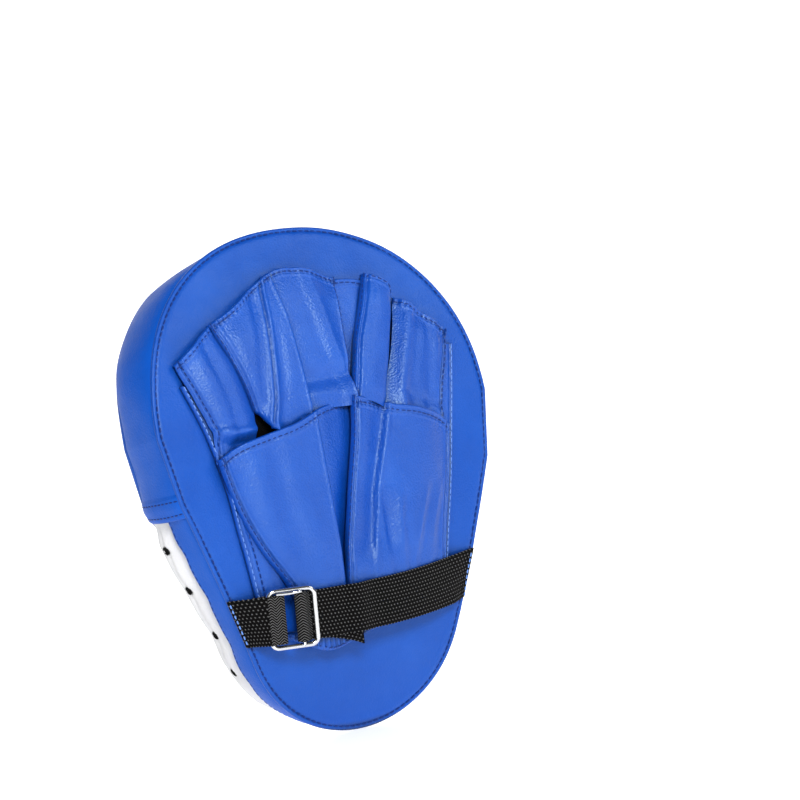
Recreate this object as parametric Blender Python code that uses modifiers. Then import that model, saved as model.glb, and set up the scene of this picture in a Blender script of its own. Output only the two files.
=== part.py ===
"""Curved focus mitt, a hand-held striking pad: padded body, glove with finger stalls, wrist strap.

The pad is laid out flat, in millimetres, as three distances: across (left to right as the glove
side is seen), along (from the wrist end to the fingertip end) and depth (from the glove-side skin
towards the striking side). One bend about the X axis then makes it the curved pad, with the
striking face hollow. Rise is negative depth: height above the glove-side skin.
"""
import math

import bmesh
import bpy
from mathutils import Vector

MM = 0.001
GAP = 0.3                       # left between pieces that touch
LONGEST_FACET = 12.0            # along the bend

# Pad body
PAD_LENGTH = 250.0
TOP_RADIUS = 94.5               # fingertip end, half the pad's width
TOP_SQUARENESS = 2.15           # 2 is a circle, more is squarer
TIP_RADIUS = 62.5               # wrist end
PAD_DEPTH = 36.5
BEND_RADIUS = 460.0
SKIN = 1.2
SKIN_LAP = SKIN + GAP
BACK_FOAM_DEPTH = 9.0           # depth where each foam layer ends
CORE_FOAM_DEPTH = 23.0
FOAM_INSET = 4.6

# Side walls: one round the fingertip end, two narrower strips round the wrist end
STEP_LEVEL = 121.0              # along, where the upper wall's hem ends
UPPER_PROUD = 0.8
LOWER_INSET = 1.5
WALL = 1.3
WALL_UNDERLAP = 3.0
STRIP_JOIN_DEPTH = 18.0         # where the blue strip meets the white vented one
VENT_RADIUS = 1.6
VENT_LEVELS = (106.0, 83.0, 60.0, 40.0)

# Striking side
BINDING_WIDTH = 7.0
FACE_PROUD = 0.4
TARGET_LEVEL = 140.0
DISC_RADIUS = 24.9
RING_INNER = 27.9
RING_OUTER = 35.4
TARGET_SHEET = 0.6

# Glove
LINING = 0.8
LEATHER = 1.2
GLOVE_BASE = GAP + LINING + GAP + LEATHER      # rise of a sewn edge's outer surface
COVER_FOOT_LEVEL = 47.0
COVER_EDGE_LEVEL = 51.5         # along, the covers' wrist edge where the slit meets it
COVER_EDGE_CLIMB = 8.0          # how far that edge climbs over half its width
COVER_HEM_WIDTH = 6.0
COVER_FOOT_HALF_WIDTH = 54.0
COVER_HEAD_LEVEL = 141.0
COVER_HEAD_HALF_WIDTH = 70.0
COVER_CROWN = 9.0
SLIT_FOOT = -10.0               # across, where the slit between the two covers meets their hem
SLIT_HEAD = 7.5
SLIT_HALF_WIDTH_FOOT = 0.5
SLIT_HALF_WIDTH_HEAD = 1.5
HEM_PEAK_LEVEL = 160.0
HEM_PEAK = 8.0                  # across, the highest point of the covers' upper hem
# name, left edge foot and head, right edge foot and head, crown height
STALLS = (
    ("thumb_stall", (-70.0, 143.0), (-81.5, 188.5), (-46.0, 149.5), (-56.5, 203.5), 7.5),
    ("index_stall", (-42.5, 163.5), (-55.0, 204.5), (-33.0, 156.0), (-21.5, 226.0), 8.0),
    ("middle_stall", (-31.5, 156.5), (-19.5, 227.0), (9.5, 162.5), (32.0, 219.0), 8.5),
    ("ring_stall", (11.0, 163.0), (33.5, 220.0), (29.5, 160.0), (48.5, 211.5), 10.0),
    ("little_stall", (31.0, 159.5), (51.5, 206.5), (70.0, 145.0), (78.5, 186.0), 8.0),
)

# Wrist strap and buckle
STRAP_LEVEL = 62.5              # along, the strap's middle at the pad's centre line
STRAP_BOW = 3.5                 # how far its right end lies above that
STRAP_WIDTH = 23.8
WEBBING = 1.3
STRAP_LAYER = GAP + 0.1 + WEBBING / 2
STRAP_END_INSET = 0.8
LEFT_BAR = -53.5                # across
CENTRE_BAR = -38.4
RIGHT_BAR = -31.6
WIRE_RADIUS = 1.2
BUCKLE_HEIGHT = 27.4            # between the centre lines of its two rails
BUCKLE_CORNER = 1.7
TURN_RADIUS = WIRE_RADIUS + GAP + WEBBING / 2
TURN_END = -34.5
LOOP_FOLD = -47.7               # across, the middle of the anchor loop's own fold
LOOP_FOLD_RADIUS = 1.35
STRAP_START = -33.2
TAIL_END = -1.5
TAIL_SLANT = 0.17

# The frame's origin is under the middle of the whole object, level with its lowest edge.
SETBACK = 19.9
LOWEST_LEVEL = 0.72             # along, the short straight edge at the wrist end
RAISE = BEND_RADIUS * math.sin((PAD_LENGTH / 2 - LOWEST_LEVEL) / BEND_RADIUS)

BLUE = (0.025, 0.115, 0.640)
DEEP_BLUE = (0.018, 0.085, 0.520)
BLACK = (0.018, 0.018, 0.018)
WHITE = (0.900, 0.900, 0.910)
FOAM_GREY = (0.180, 0.180, 0.190)
FOAM_CREAM = (0.750, 0.700, 0.580)
CHROME = (0.780, 0.790, 0.800)


def bend(across, along, depth):
    """The world point, in metres, of a place on or in the flat pad."""
    angle = (along - PAD_LENGTH / 2) / BEND_RADIUS
    arm = BEND_RADIUS - depth
    y = BEND_RADIUS - arm * math.cos(angle) - SETBACK
    z = arm * math.sin(angle) + RAISE
    return Vector((across, y, z)) * MM


def strap_place(across, shift, rise):
    """A point on the strap: straight over its own width, square to the pad at the strap's level."""
    angle = (STRAP_LEVEL - PAD_LENGTH / 2) / BEND_RADIUS
    up = Vector((0.0, math.sin(angle), math.cos(angle)))
    out = Vector((0.0, -math.cos(angle), math.sin(angle)))
    foot = bend(across, STRAP_LEVEL, 0.0)
    return foot + up * (shift * MM) + out * (rise * MM)


def smooth_step(value, start, end):
    """0 before start, 1 after end, eased between them."""
    ratio = min(1.0, max(0.0, (value - start) / (end - start)))
    return ratio * ratio * (3.0 - 2.0 * ratio)


def right_side(inset, top_steps=11, side_steps=7, tip_steps=8):
    """The right half of the pad's outline as (across, along), from the top centre to the tip."""
    top = TOP_RADIUS - inset
    tip = TIP_RADIUS - inset
    top_centre = PAD_LENGTH - TOP_RADIUS
    lean = math.asin((TOP_RADIUS - TIP_RADIUS) / (top_centre - TIP_RADIUS))
    power = 2.0 / TOP_SQUARENESS
    points = []
    for step in range(top_steps + 1):
        turn = math.pi / 2 * step / top_steps
        across = top * math.sin(turn) ** power
        points.append((across, top_centre + top * max(0.0, math.cos(turn)) ** power))
    points.append((top * math.cos(lean / 2), top_centre - top * math.sin(lean / 2)))
    start = Vector((top * math.cos(lean), top_centre - top * math.sin(lean)))
    end = Vector((tip * math.cos(lean), TIP_RADIUS - tip * math.sin(lean)))
    for step in range(side_steps):
        points.append(tuple(start.lerp(end, step / side_steps)))
    for step in range(tip_steps + 1):
        turn = lean + (math.pi / 2 - lean) * step / tip_steps
        points.append((tip * math.cos(turn), TIP_RADIUS - tip * math.sin(turn)))
    return points


def half_width(along, inset=0.0):
    """Half the pad's width at a level."""
    points = right_side(inset)
    for upper, lower in zip(points, points[1:]):
        if lower[1] <= along <= upper[1]:
            ratio = (along - lower[1]) / (upper[1] - lower[1])
            return lower[0] + (upper[0] - lower[0]) * ratio
    return 0.0


def outline(inset):
    """The whole outline, once round from the top centre: down the right side, up the left."""
    right = right_side(inset)
    left = [(-across, along) for across, along in reversed(right[1:-1])]
    return right + left


def material(name, colour, roughness, metallic=0.0):
    """A plain Principled material, made once for each name."""
    made = bpy.data.materials.get(name)
    if made is None:
        made = bpy.data.materials.new(name)
        made.use_nodes = True
        shader = made.node_tree.nodes["Principled BSDF"]
        shader.inputs["Base Color"].default_value = (*colour, 1.0)
        shader.inputs["Roughness"].default_value = roughness
        shader.inputs["Metallic"].default_value = metallic
        made.diffuse_color = (*colour, 1.0)
    return made


def add_object(name, data, look, collection):
    """Put a mesh or curve in the scene under a name, with one material."""
    data.materials.append(look)
    made = bpy.data.objects.new(name, data)
    collection.objects.link(made)
    return made


def sheet(name, rows, thickness, look, collection, closed=False):
    """A bent sheet: a grid of world points, thickened behind its front with Solidify.

    closed joins the last row to the first, as in a ring.
    """
    mesh = bpy.data.meshes.new(name)
    form = bmesh.new()
    grid = [[form.verts.new(point) for point in row] for row in rows]
    pairs = list(zip(grid, grid[1:]))
    if closed:
        pairs.append((grid[-1], grid[0]))
    for upper, lower in pairs:
        for column in range(len(upper) - 1):
            form.faces.new((upper[column], lower[column], lower[column + 1], upper[column + 1]))
    form.to_mesh(mesh)
    form.free()
    made = add_object(name, mesh, look, collection)
    shell = made.modifiers.new("thickness", "SOLIDIFY")
    shell.thickness = thickness * MM
    shell.offset = -1.0
    shell.use_even_offset = True
    mesh.shade_smooth()
    mesh.set_sharp_from_angle(angle=math.radians(35.0))
    return made


def layer(name, near, far, inset, look, collection):
    """A flat-cut layer of the pad between two depths."""
    rows = []
    for across, along in right_side(inset)[1:-1]:
        rows.append([bend(-across, along, near), bend(across, along, near)])
    return sheet(name, rows, far - near, look, collection)


def ring_layer(name, loop_out, loop_in, near, far, look, collection):
    """A flat-cut ring between two outlines with as many points."""
    rows = []
    for outer, inner in zip(loop_out, loop_in):
        rows.append([bend(*inner, near), bend(*outer, near)])
    return sheet(name, rows, far - near, look, collection, closed=True)


def wall(name, path, near, far, look, collection):
    """A side wall along an outline, from one depth to another, thickened inwards."""
    rows = [[bend(across, along, far), bend(across, along, near)] for across, along in path]
    return sheet(name, rows, WALL, look, collection)


def path_above(inset, level):
    """The outline round the fingertip end, from a level on the right to the same on the left."""
    right = [point for point in right_side(inset) if point[1] > level + 1.0]
    right.append((half_width(level, inset), level))
    left = [(-across, along) for across, along in right[1:]]
    return list(reversed(right)) + left


def path_below(inset, level):
    """The outline round the wrist end, from a level on the left to the same on the right."""
    right = [point for point in right_side(inset) if point[1] < level - 1.0]
    right.insert(0, (half_width(level, inset), level))
    left = [(-across, along) for across, along in right[:-1]]
    return left + list(reversed(right))


def add_pad(collection, cutters):
    """Skins, foam layers and side walls."""
    blue = material("blue_leather", BLUE, 0.38)
    layer("back_panel", 0.0, SKIN, 0.0, blue, collection)
    look = material("soft_foam", FOAM_CREAM, 0.9)
    layer("back_foam", SKIN_LAP, BACK_FOAM_DEPTH, FOAM_INSET, look, collection)
    look = material("core_foam", FOAM_GREY, 0.9)
    layer("core_foam", BACK_FOAM_DEPTH + GAP, CORE_FOAM_DEPTH, FOAM_INSET, look, collection)
    look = material("impact_foam", BLACK, 0.85)
    face_depth = PAD_DEPTH - SKIN_LAP
    layer("impact_foam", CORE_FOAM_DEPTH + GAP, face_depth - GAP, FOAM_INSET, look, collection)

    upper = path_above(-UPPER_PROUD, STEP_LEVEL)
    wall("upper_side_wall", upper, SKIN_LAP, PAD_DEPTH - SKIN_LAP, blue, collection)
    lower = path_below(LOWER_INSET, STEP_LEVEL + WALL_UNDERLAP)
    wall("lower_side_strip", lower, SKIN_LAP, STRIP_JOIN_DEPTH, blue, collection)
    white = material("white_leather", WHITE, 0.42)
    vents = wall("vented_side_strip", lower, STRIP_JOIN_DEPTH + GAP, PAD_DEPTH - SKIN_LAP, white,
                 collection)
    cut_vents(vents, cutters)


def cut_vents(strip, cutters):
    """Punch the row of round air holes through both sides of the white strip."""
    middle = (STRIP_JOIN_DEPTH + PAD_DEPTH - SKIN_LAP) / 2
    form = bmesh.new()
    for side in (-1.0, 1.0):
        for level in VENT_LEVELS:
            place = bend(side * half_width(level, LOWER_INSET), level, middle)
            made = bmesh.ops.create_cone(form, cap_ends=True, segments=10,
                                         radius1=VENT_RADIUS * MM, radius2=VENT_RADIUS * MM,
                                         depth=8.0 * MM)
            turn = Vector((side, 0.0, -0.36)).to_track_quat("Z", "Y").to_matrix().to_4x4()
            bmesh.ops.transform(form, matrix=turn, verts=made["verts"])
            bmesh.ops.translate(form, vec=place, verts=made["verts"])
    mesh = bpy.data.meshes.new("vent_punches")
    form.to_mesh(mesh)
    form.free()
    punches = bpy.data.objects.new("vent_punches", mesh)
    cutters.objects.link(punches)
    punches.hide_render = True
    punches.display_type = "WIRE"
    punch = strip.modifiers.new("vents", "BOOLEAN")
    punch.operation = "DIFFERENCE"
    punch.object = punches


def circle(radius, steps, level):
    """Points of a circle on the flat pad, once round."""
    points = []
    for step in range(steps):
        turn = 2.0 * math.pi * step / steps
        points.append((radius * math.sin(turn), level + radius * math.cos(turn)))
    return points


def add_striking_side(collection):
    """Black face, blue edge binding and the white target: a ring round a flat disc."""
    near = PAD_DEPTH - SKIN
    look = material("black_leather", BLACK, 0.55)
    layer("strike_face", near, PAD_DEPTH + FACE_PROUD, BINDING_WIDTH + GAP, look, collection)
    look = material("blue_leather", BLUE, 0.38)
    ring_layer("front_binding", outline(0.0), outline(BINDING_WIDTH), near, PAD_DEPTH, look,
               collection)
    look = material("white_leather", WHITE, 0.42)
    sheet_near = PAD_DEPTH + FACE_PROUD + GAP
    ring_layer("target_ring", circle(RING_OUTER, 36, TARGET_LEVEL),
               circle(RING_INNER, 36, TARGET_LEVEL), sheet_near, sheet_near + TARGET_SHEET, look,
               collection)
    add_target_disc(sheet_near, look, collection)


def add_target_disc(near, look, collection):
    """The disc's back follows the hollow face; its front is truly flat."""
    form = bmesh.new()
    bmesh.ops.create_cone(form, cap_ends=True, segments=36, radius1=DISC_RADIUS,
                          radius2=DISC_RADIUS, depth=1.0)
    for level in (-15.0, -5.0, 5.0, 15.0):
        everything = form.verts[:] + form.edges[:] + form.faces[:]
        bmesh.ops.bisect_plane(form, geom=everything, plane_co=(0.0, level, 0.0),
                               plane_no=(0.0, 1.0, 0.0))
    angle = (TARGET_LEVEL - PAD_LENGTH / 2) / BEND_RADIUS
    up = Vector((0.0, math.sin(angle), math.cos(angle)))
    rim_lift = DISC_RADIUS ** 2 / 2 / (BEND_RADIUS - PAD_DEPTH)
    front = near + TARGET_SHEET + rim_lift
    for vert in form.verts:
        across, along, side = vert.co
        if side > 0.0:
            vert.co = bend(across, TARGET_LEVEL + along, near)
        else:
            vert.co = bend(across, TARGET_LEVEL, front) + up * (along * MM)
    mesh = bpy.data.meshes.new("target_disc")
    form.to_mesh(mesh)
    form.free()
    add_object("target_disc", mesh, look, collection)


def cover_half_width(along):
    """Half the width of the hand cover at a level."""
    ratio = (along - COVER_FOOT_LEVEL) / (COVER_HEAD_LEVEL - COVER_FOOT_LEVEL)
    return COVER_FOOT_HALF_WIDTH + (COVER_HEAD_HALF_WIDTH - COVER_FOOT_HALF_WIDTH) * ratio


def cover_rise(across, along):
    """Rise of the hand cover's outer surface: a low arch from one sewn edge to the other."""
    ratio = min(1.0, abs(across) / cover_half_width(along))
    return GLOVE_BASE + COVER_CROWN * (1.0 - ratio ** 2)


def slit(along):
    """Across and half the width of the slit between the covers, at a level."""
    ratio = (along - COVER_FOOT_LEVEL) / (HEM_PEAK_LEVEL - COVER_FOOT_LEVEL)
    middle = SLIT_FOOT + (SLIT_HEAD - SLIT_FOOT) * ratio
    return middle, SLIT_HALF_WIDTH_FOOT + (SLIT_HALF_WIDTH_HEAD - SLIT_HALF_WIDTH_FOOT) * ratio


def edge_level(across):
    """Along, where the covers end at the wrist: the edge climbs to both sides."""
    return COVER_EDGE_LEVEL + COVER_EDGE_CLIMB * ((across - SLIT_FOOT) / COVER_FOOT_HALF_WIDTH) ** 2


def hem_level(across):
    """Along, where the covers' upper hem lies: an arch with its peak right of the middle."""
    side = COVER_HEAD_HALF_WIDTH + math.copysign(HEM_PEAK, HEM_PEAK - across)
    ratio = (across - HEM_PEAK) / side
    return HEM_PEAK_LEVEL - (HEM_PEAK_LEVEL - COVER_HEAD_LEVEL) * abs(ratio) ** 1.6


def add_hand_cover(name, side, collection):
    """One half of the hand cover, from its sewn outer edge to the slit."""
    along_steps = 9
    across_steps = 9
    rows = []
    for step in range(along_steps + 1):
        row = []
        for column in range(across_steps + 1):
            ratio = column / across_steps
            place = 0.0
            along = COVER_EDGE_LEVEL
            for _ in range(6):
                middle, half_gap = slit(along)
                outer = side * cover_half_width(along)
                inner = middle + side * half_gap
                ends = (outer, inner) if side < 0.0 else (inner, outer)
                place = ends[0] + (ends[1] - ends[0]) * ratio
                foot = edge_level(place)
                along = foot + (hem_level(place) - foot) * (1.0 - step / along_steps)
            row.append(bend(place, along, -cover_rise(place, along)))
        rows.append(row)
    look = material("blue_leather_soft", BLUE, 0.34)
    sheet(name, rows, LEATHER, look, collection)


def add_cover_hem(collection):
    """The gathered band that closes the covers' wrist edge."""
    steps = 16
    rows = []
    for drop in (GAP, COVER_HEM_WIDTH):
        row = []
        for step in range(steps + 1):
            across = (2.0 * step / steps - 1.0) * COVER_FOOT_HALF_WIDTH
            level = edge_level(across)
            row.append(bend(across, level - drop, -cover_rise(across, level)))
        rows.append(row)
    look = material("blue_leather_deep", DEEP_BLUE, 0.42)
    sheet("cover_hem", rows, LEATHER, look, collection)


def add_stall(name, left_foot, left_head, right_foot, right_head, crown, collection):
    """A finger stall: an arched tunnel between two sewn lines, open at both ends."""
    along_steps = 5
    across_steps = 9
    left_foot, left_head = Vector(left_foot), Vector(left_head)
    right_foot, right_head = Vector(right_foot), Vector(right_head)
    rows = []
    for step in range(along_steps + 1):
        ratio = 1.0 - step / along_steps
        left = left_foot.lerp(left_head, ratio)
        right = right_foot.lerp(right_head, ratio)
        row = []
        for column in range(across_steps + 1):
            spot = left.lerp(right, column / across_steps)
            arch = math.sin(math.pi * column / across_steps) ** 0.7
            row.append(bend(spot.x, spot.y, -GLOVE_BASE - crown * arch))
        rows.append(row)
    look = material("blue_leather_soft", BLUE, 0.34)
    sheet(name, rows, LEATHER, look, collection)


def add_lining(collection):
    """Thin black cloth on the glove-side skin, under the covers and stalls."""
    edges = ((222.0, -27.0, 28.0), (206.0, -52.0, 50.0), (188.0, -79.0, 77.0),
             (166.0, -74.0, 73.0), (COVER_HEAD_LEVEL, -69.0, 69.0), (94.0, -61.0, 61.0),
             (COVER_FOOT_LEVEL, -53.0, 53.0), (42.0, -52.0, 52.0))
    rows = []
    for upper, lower in zip(edges, edges[1:]):
        steps = math.ceil((upper[0] - lower[0]) / LONGEST_FACET)
        for step in range(steps):
            along, left, right = Vector(upper).lerp(Vector(lower), step / steps)
            rows.append([bend(left, along, -GAP - LINING), bend(right, along, -GAP - LINING)])
    along, left, right = edges[-1]
    rows.append([bend(left, along, -GAP - LINING), bend(right, along, -GAP - LINING)])
    look = material("black_cloth", BLACK, 0.8)
    sheet("palm_lining", rows, LINING, look, collection)


def under_strap(across):
    """Rise of what the strap lies on, at its higher edge: the covers, then a slope to the skin."""
    level = STRAP_LEVEL + strap_bow(across) + STRAP_WIDTH / 2
    foot = cover_half_width(level)
    if abs(across) < foot:
        return cover_rise(across, level)
    return GLOVE_BASE * max(0.0, 1.0 - (abs(across) - foot) / 7.0)


def strap_bow(across):
    """How far the strap's middle climbs towards its right end."""
    return STRAP_BOW * (max(0.0, across) / TIP_RADIUS) ** 2


def strap_end(shift, side):
    """Distance from the middle to the side seam that an end is sewn into, at a shift along it."""
    return half_width(STRAP_LEVEL + strap_bow(side * TIP_RADIUS) + shift) - STRAP_END_INSET


def webbing(name, path, collection, end_side=0.0, slant=0.0):
    """A strip of webbing along a path of (across, rise); end_side sews one end into a seam."""
    look = material("black_webbing", BLACK, 0.75)
    first = path[0][0]
    rows = []
    for across, rise in path:
        row = []
        for part in (-0.5, 0.0, 0.5):
            shift = part * STRAP_WIDTH
            place = across
            reach = abs(across) - abs(LEFT_BAR) - WIRE_RADIUS
            if end_side and reach > 0.0 and across * end_side > 0.0:
                span = half_width(STRAP_LEVEL) - abs(LEFT_BAR) - WIRE_RADIUS
                stretch = strap_end(shift, end_side) - strap_end(0.0, end_side)
                place += end_side * stretch * min(1.0, reach / span)
            drop = slant * (across - first)
            row.append(strap_place(place, shift + strap_bow(across) - drop, rise))
        rows.append(row)
    made = sheet(name, rows, WEBBING, look, collection)
    made.modifiers["thickness"].offset = 0.0
    return made


def arc_round(centre, start, end, steps, radius=TURN_RADIUS):
    """Points (across, rise) round a bar or fold from one angle to another, in degrees."""
    points = []
    for step in range(steps + 1):
        turn = math.radians(start + (end - start) * step / steps)
        points.append((centre[0] + radius * math.cos(turn), centre[1] + radius * math.sin(turn)))
    return points


def bar_rise(across):
    """Rise of the buckle's middle plane, which leans with the strap under it."""
    left = under_strap(LEFT_BAR) + GAP + WEBBING + GAP + WIRE_RADIUS
    right = main_rise(RIGHT_BAR) + WEBBING / 2 + GAP + WIRE_RADIUS
    return left + (right - left) * (across - LEFT_BAR) / (RIGHT_BAR - LEFT_BAR)


def main_rise(across):
    """Rise of the strap's middle: over its own tail first, then straight on what lies under."""
    over_tail = (WEBBING + GAP) * (1.0 - smooth_step(across, TAIL_END + 1.0, TAIL_END + 9.0))
    return under_strap(across) + STRAP_LAYER + over_tail


def add_strap(collection):
    """Anchor loop on the left, adjustable strap from the right with its turn and its tail."""
    left_bar = (LEFT_BAR, bar_rise(LEFT_BAR))
    sewn_rise = GAP + WEBBING / 2
    anchor = [(-strap_end(0.0, -1.0), sewn_rise), (-64.6, 1.7), (-62.0, 3.6), (-59.0, 6.2), (-56.4, 8.1)]
    fold = (LOOP_FOLD, bar_rise(LOOP_FOLD))
    anchor += arc_round(left_bar, 118.0, 80.0, 3)
    anchor += arc_round(fold, 80.0, -80.0, 8, LOOP_FOLD_RADIUS)
    anchor += arc_round(left_bar, -80.0, -100.0, 2)
    anchor += [(-56.4, left_bar[1] - 2.45), (-59.4, left_bar[1] - 2.85)]
    webbing("strap_anchor", anchor, collection, end_side=-1.0)

    centre_bar = (CENTRE_BAR, bar_rise(CENTRE_BAR))
    turn = [(TURN_END, main_rise(TURN_END)), (CENTRE_BAR + 2.6, centre_bar[1] + 0.5)]
    turn += arc_round(centre_bar, 60.0, 285.0, 11)
    turn += [(TURN_END, under_strap(TURN_END) + STRAP_LAYER)]
    webbing("strap_turn", turn, collection)

    seam = strap_end(0.0, 1.0)
    steps = 22
    main = []
    for step in range(steps + 1):
        across = STRAP_START + (seam - STRAP_START) * step / steps
        rise = main_rise(across)
        main.append((across, max(rise, sewn_rise)))
    webbing("wrist_strap", main, collection, end_side=1.0)

    steps = 7
    tail = []
    for step in range(steps + 1):
        across = STRAP_START + (TAIL_END - STRAP_START) * step / steps
        tail.append((across, under_strap(across) + STRAP_LAYER))
    webbing("strap_tail", tail, collection, slant=TAIL_SLANT)


def wire(name, points, closed, collection, pivot):
    """Round wire along world points, with its origin on the buckle's pivot."""
    curve = bpy.data.curves.new(name, "CURVE")
    curve.dimensions = "3D"
    curve.bevel_depth = WIRE_RADIUS * MM
    curve.bevel_resolution = 2
    curve.use_fill_caps = not closed
    run = curve.splines.new("POLY")
    run.points.add(len(points) - 1)
    for knot, point in zip(run.points, points):
        knot.co = (*(point - pivot), 1.0)
    run.use_cyclic_u = closed
    made = add_object(name, curve, material("chrome", CHROME, 0.12, 1.0), collection)
    made.location = pivot
    return made


def add_buckle(collection):
    """Wire frame with two long bars, and the centre bar that the strap turns round."""
    pivot = strap_place(LEFT_BAR, 0.0, bar_rise(LEFT_BAR))
    corners = ((RIGHT_BAR, 0.5, 0.0), (LEFT_BAR, 0.5, 90.0), (LEFT_BAR, -0.5, 180.0),
               (RIGHT_BAR, -0.5, 270.0))
    points = []
    for across, half, start in corners:
        inwards = BUCKLE_CORNER if across == LEFT_BAR else -BUCKLE_CORNER
        middle = (across + inwards, half * (BUCKLE_HEIGHT - 2.0 * BUCKLE_CORNER))
        for step in range(5):
            turn = math.radians(start + 90.0 * step / 4)
            place = middle[0] + BUCKLE_CORNER * math.cos(turn)
            shift = middle[1] + BUCKLE_CORNER * math.sin(turn)
            points.append(strap_place(place, shift, bar_rise(place)))
    wire("buckle_frame", points, True, collection, pivot)
    reach = BUCKLE_HEIGHT / 2 - WIRE_RADIUS - GAP
    ends = [strap_place(CENTRE_BAR, side * reach, bar_rise(CENTRE_BAR)) for side in (-1.0, 1.0)]
    wire("buckle_bar", ends, False, collection, pivot)


def main():
    """Clear the scene and build the mitt."""
    for old in list(bpy.data.objects):
        bpy.data.objects.remove(old, do_unlink=True)
    parts = bpy.data.collections.new("focus_mitt")
    cutters = bpy.data.collections.new("cutters")
    bpy.context.scene.collection.children.link(parts)
    bpy.context.scene.collection.children.link(cutters)
    add_pad(parts, cutters)
    add_striking_side(parts)
    add_lining(parts)
    add_hand_cover("hand_cover_left", -1.0, parts)
    add_hand_cover("hand_cover_right", 1.0, parts)
    add_cover_hem(parts)
    for name, left_foot, left_head, right_foot, right_head, crown in STALLS:
        add_stall(name, left_foot, left_head, right_foot, right_head, crown, parts)
    add_strap(parts)
    add_buckle(parts)


main()
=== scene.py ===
"""Curved focus mitt, glove side towards the camera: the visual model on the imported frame.

Shapes are laid out flat, in millimetres, as in the CAD: across, along (from the wrist end to the
fingertip end) and rise (height above the glove-side skin), and then bent about the X axis.
"""
import math

import bpy
import numpy as np
from mathutils import Matrix, Vector, noise
from mathutils.bvhtree import BVHTree


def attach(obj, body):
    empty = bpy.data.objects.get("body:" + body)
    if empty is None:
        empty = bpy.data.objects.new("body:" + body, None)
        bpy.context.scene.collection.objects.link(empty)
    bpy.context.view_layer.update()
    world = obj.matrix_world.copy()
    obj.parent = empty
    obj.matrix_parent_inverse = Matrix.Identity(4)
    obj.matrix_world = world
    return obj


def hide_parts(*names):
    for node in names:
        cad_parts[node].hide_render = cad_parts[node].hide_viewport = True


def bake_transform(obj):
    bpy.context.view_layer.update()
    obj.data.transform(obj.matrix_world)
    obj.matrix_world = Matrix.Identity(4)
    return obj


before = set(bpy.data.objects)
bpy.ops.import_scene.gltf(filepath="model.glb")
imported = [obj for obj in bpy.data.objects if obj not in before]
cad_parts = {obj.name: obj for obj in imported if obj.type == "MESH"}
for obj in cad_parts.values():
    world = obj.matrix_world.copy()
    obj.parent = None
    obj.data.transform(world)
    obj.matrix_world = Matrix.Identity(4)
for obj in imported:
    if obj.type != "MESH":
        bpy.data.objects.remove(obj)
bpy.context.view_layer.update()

MM = 0.001

# Pad, in mm, as in the CAD
PAD_LENGTH = 250.0
TOP_RADIUS = 94.5
TOP_SQUARENESS = 2.15
TIP_RADIUS = 62.5
PAD_DEPTH = 36.5
BEND_RADIUS = 460.0
LOWER_INSET = 1.5
STEP_LEVEL = 121.0
STRIP_JOIN_DEPTH = 18.0
VENT_RADIUS = 1.6
TARGET_LEVEL = 140.0
DISC_RADIUS = 24.9
RING_INNER = 27.9
RING_OUTER = 35.4
SETBACK = 19.9
LOWEST_LEVEL = 0.72
RAISE = BEND_RADIUS * math.sin((PAD_LENGTH / 2 - LOWEST_LEVEL) / BEND_RADIUS)

# Glove, strap and buckle, in mm, as in the CAD
GAP = 0.3
GLOVE_BASE = 2.6
COVER_FOOT_LEVEL = 47.0
COVER_FOOT_HALF_WIDTH = 54.0
COVER_HEAD_LEVEL = 141.0
COVER_HEAD_HALF_WIDTH = 70.0
COVER_CROWN = 9.0
COVER_EDGE_LEVEL = 51.5
COVER_EDGE_CLIMB = 8.0
SLIT_FOOT = -10.0
STRAP_LEVEL = 62.5
STRAP_BOW = 3.5
STRAP_WIDTH = 23.8
WEBBING = 1.3
STRAP_LAYER = GAP + 0.1 + WEBBING / 2
LEFT_BAR = -53.5
CENTRE_BAR = -38.4
RIGHT_BAR = -31.6
WIRE_RADIUS = 1.2
BUCKLE_HEIGHT = 27.4
TURN_RADIUS = WIRE_RADIUS + GAP + WEBBING / 2
TURN_END = -34.5
LOOP_FOLD = -47.7
LOOP_FOLD_RADIUS = 1.35
STRAP_START = -33.2

# Where the looks depart from the CAD solids, in mm
LEATHER = 1.1
VENT_LEVELS = (103.5, 81.0, 55.0, 33.5)
INNER_FLARE = 0.3               # the blue strip's share of the flare of the side
TAIL_END = -5.0
TAIL_DROP = 6.6                 # how far the strap's free end slants down
BUCKLE_CORNER = 3.4
ANCHOR_TURN = TURN_RADIUS + 0.25
FLOOR_DROP = 1.4                # how far the skin's lower edge rolls below the CAD's lowest point

# Seams, edges and meshes, in mm
WALL_OVERLAP = 4.0              # how far the upper wall's ends reach down over the strips
SEAM_PITCH = 3.4
COVER_HEM = 4.4
SKIN = 1.2
STRIP_TOP = STEP_LEVEL + 3.0
DISC_OPENING = 0.6              # radius left open at the disc's middle
WALL_COLUMNS = 420
STRIP_COLUMNS = 560

# Camera
CAMERA_TURN = math.radians(-32.43)
CAMERA_ROLL = math.radians(9.47)
CAMERA_DISTANCE = 1.6
CAMERA_LENS = 148.1             # on a sensor 36 mm wide
AIM_RIGHT = 0.02986             # from the pad's middle to the middle of the picture, in metres
AIM_UP = 0.03643


# Layout ---------------------------------------------------------------------------------------

def bend(across, along, rise):
    """World points, in metres, of places on the flat pad. Each may be a number or an array."""
    angle = (np.asarray(along, float) - PAD_LENGTH / 2) / BEND_RADIUS
    arm = BEND_RADIUS + np.asarray(rise, float)
    y = BEND_RADIUS - arm * np.cos(angle) - SETBACK
    z = arm * np.sin(angle) + RAISE
    x = np.asarray(across, float) + 0.0 * y
    return np.stack([x, y, z], axis=-1) * MM


def bend_points(points):
    """World points of an array of (across, along, rise)."""
    return bend(points[..., 0], points[..., 1], points[..., 2])


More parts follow.
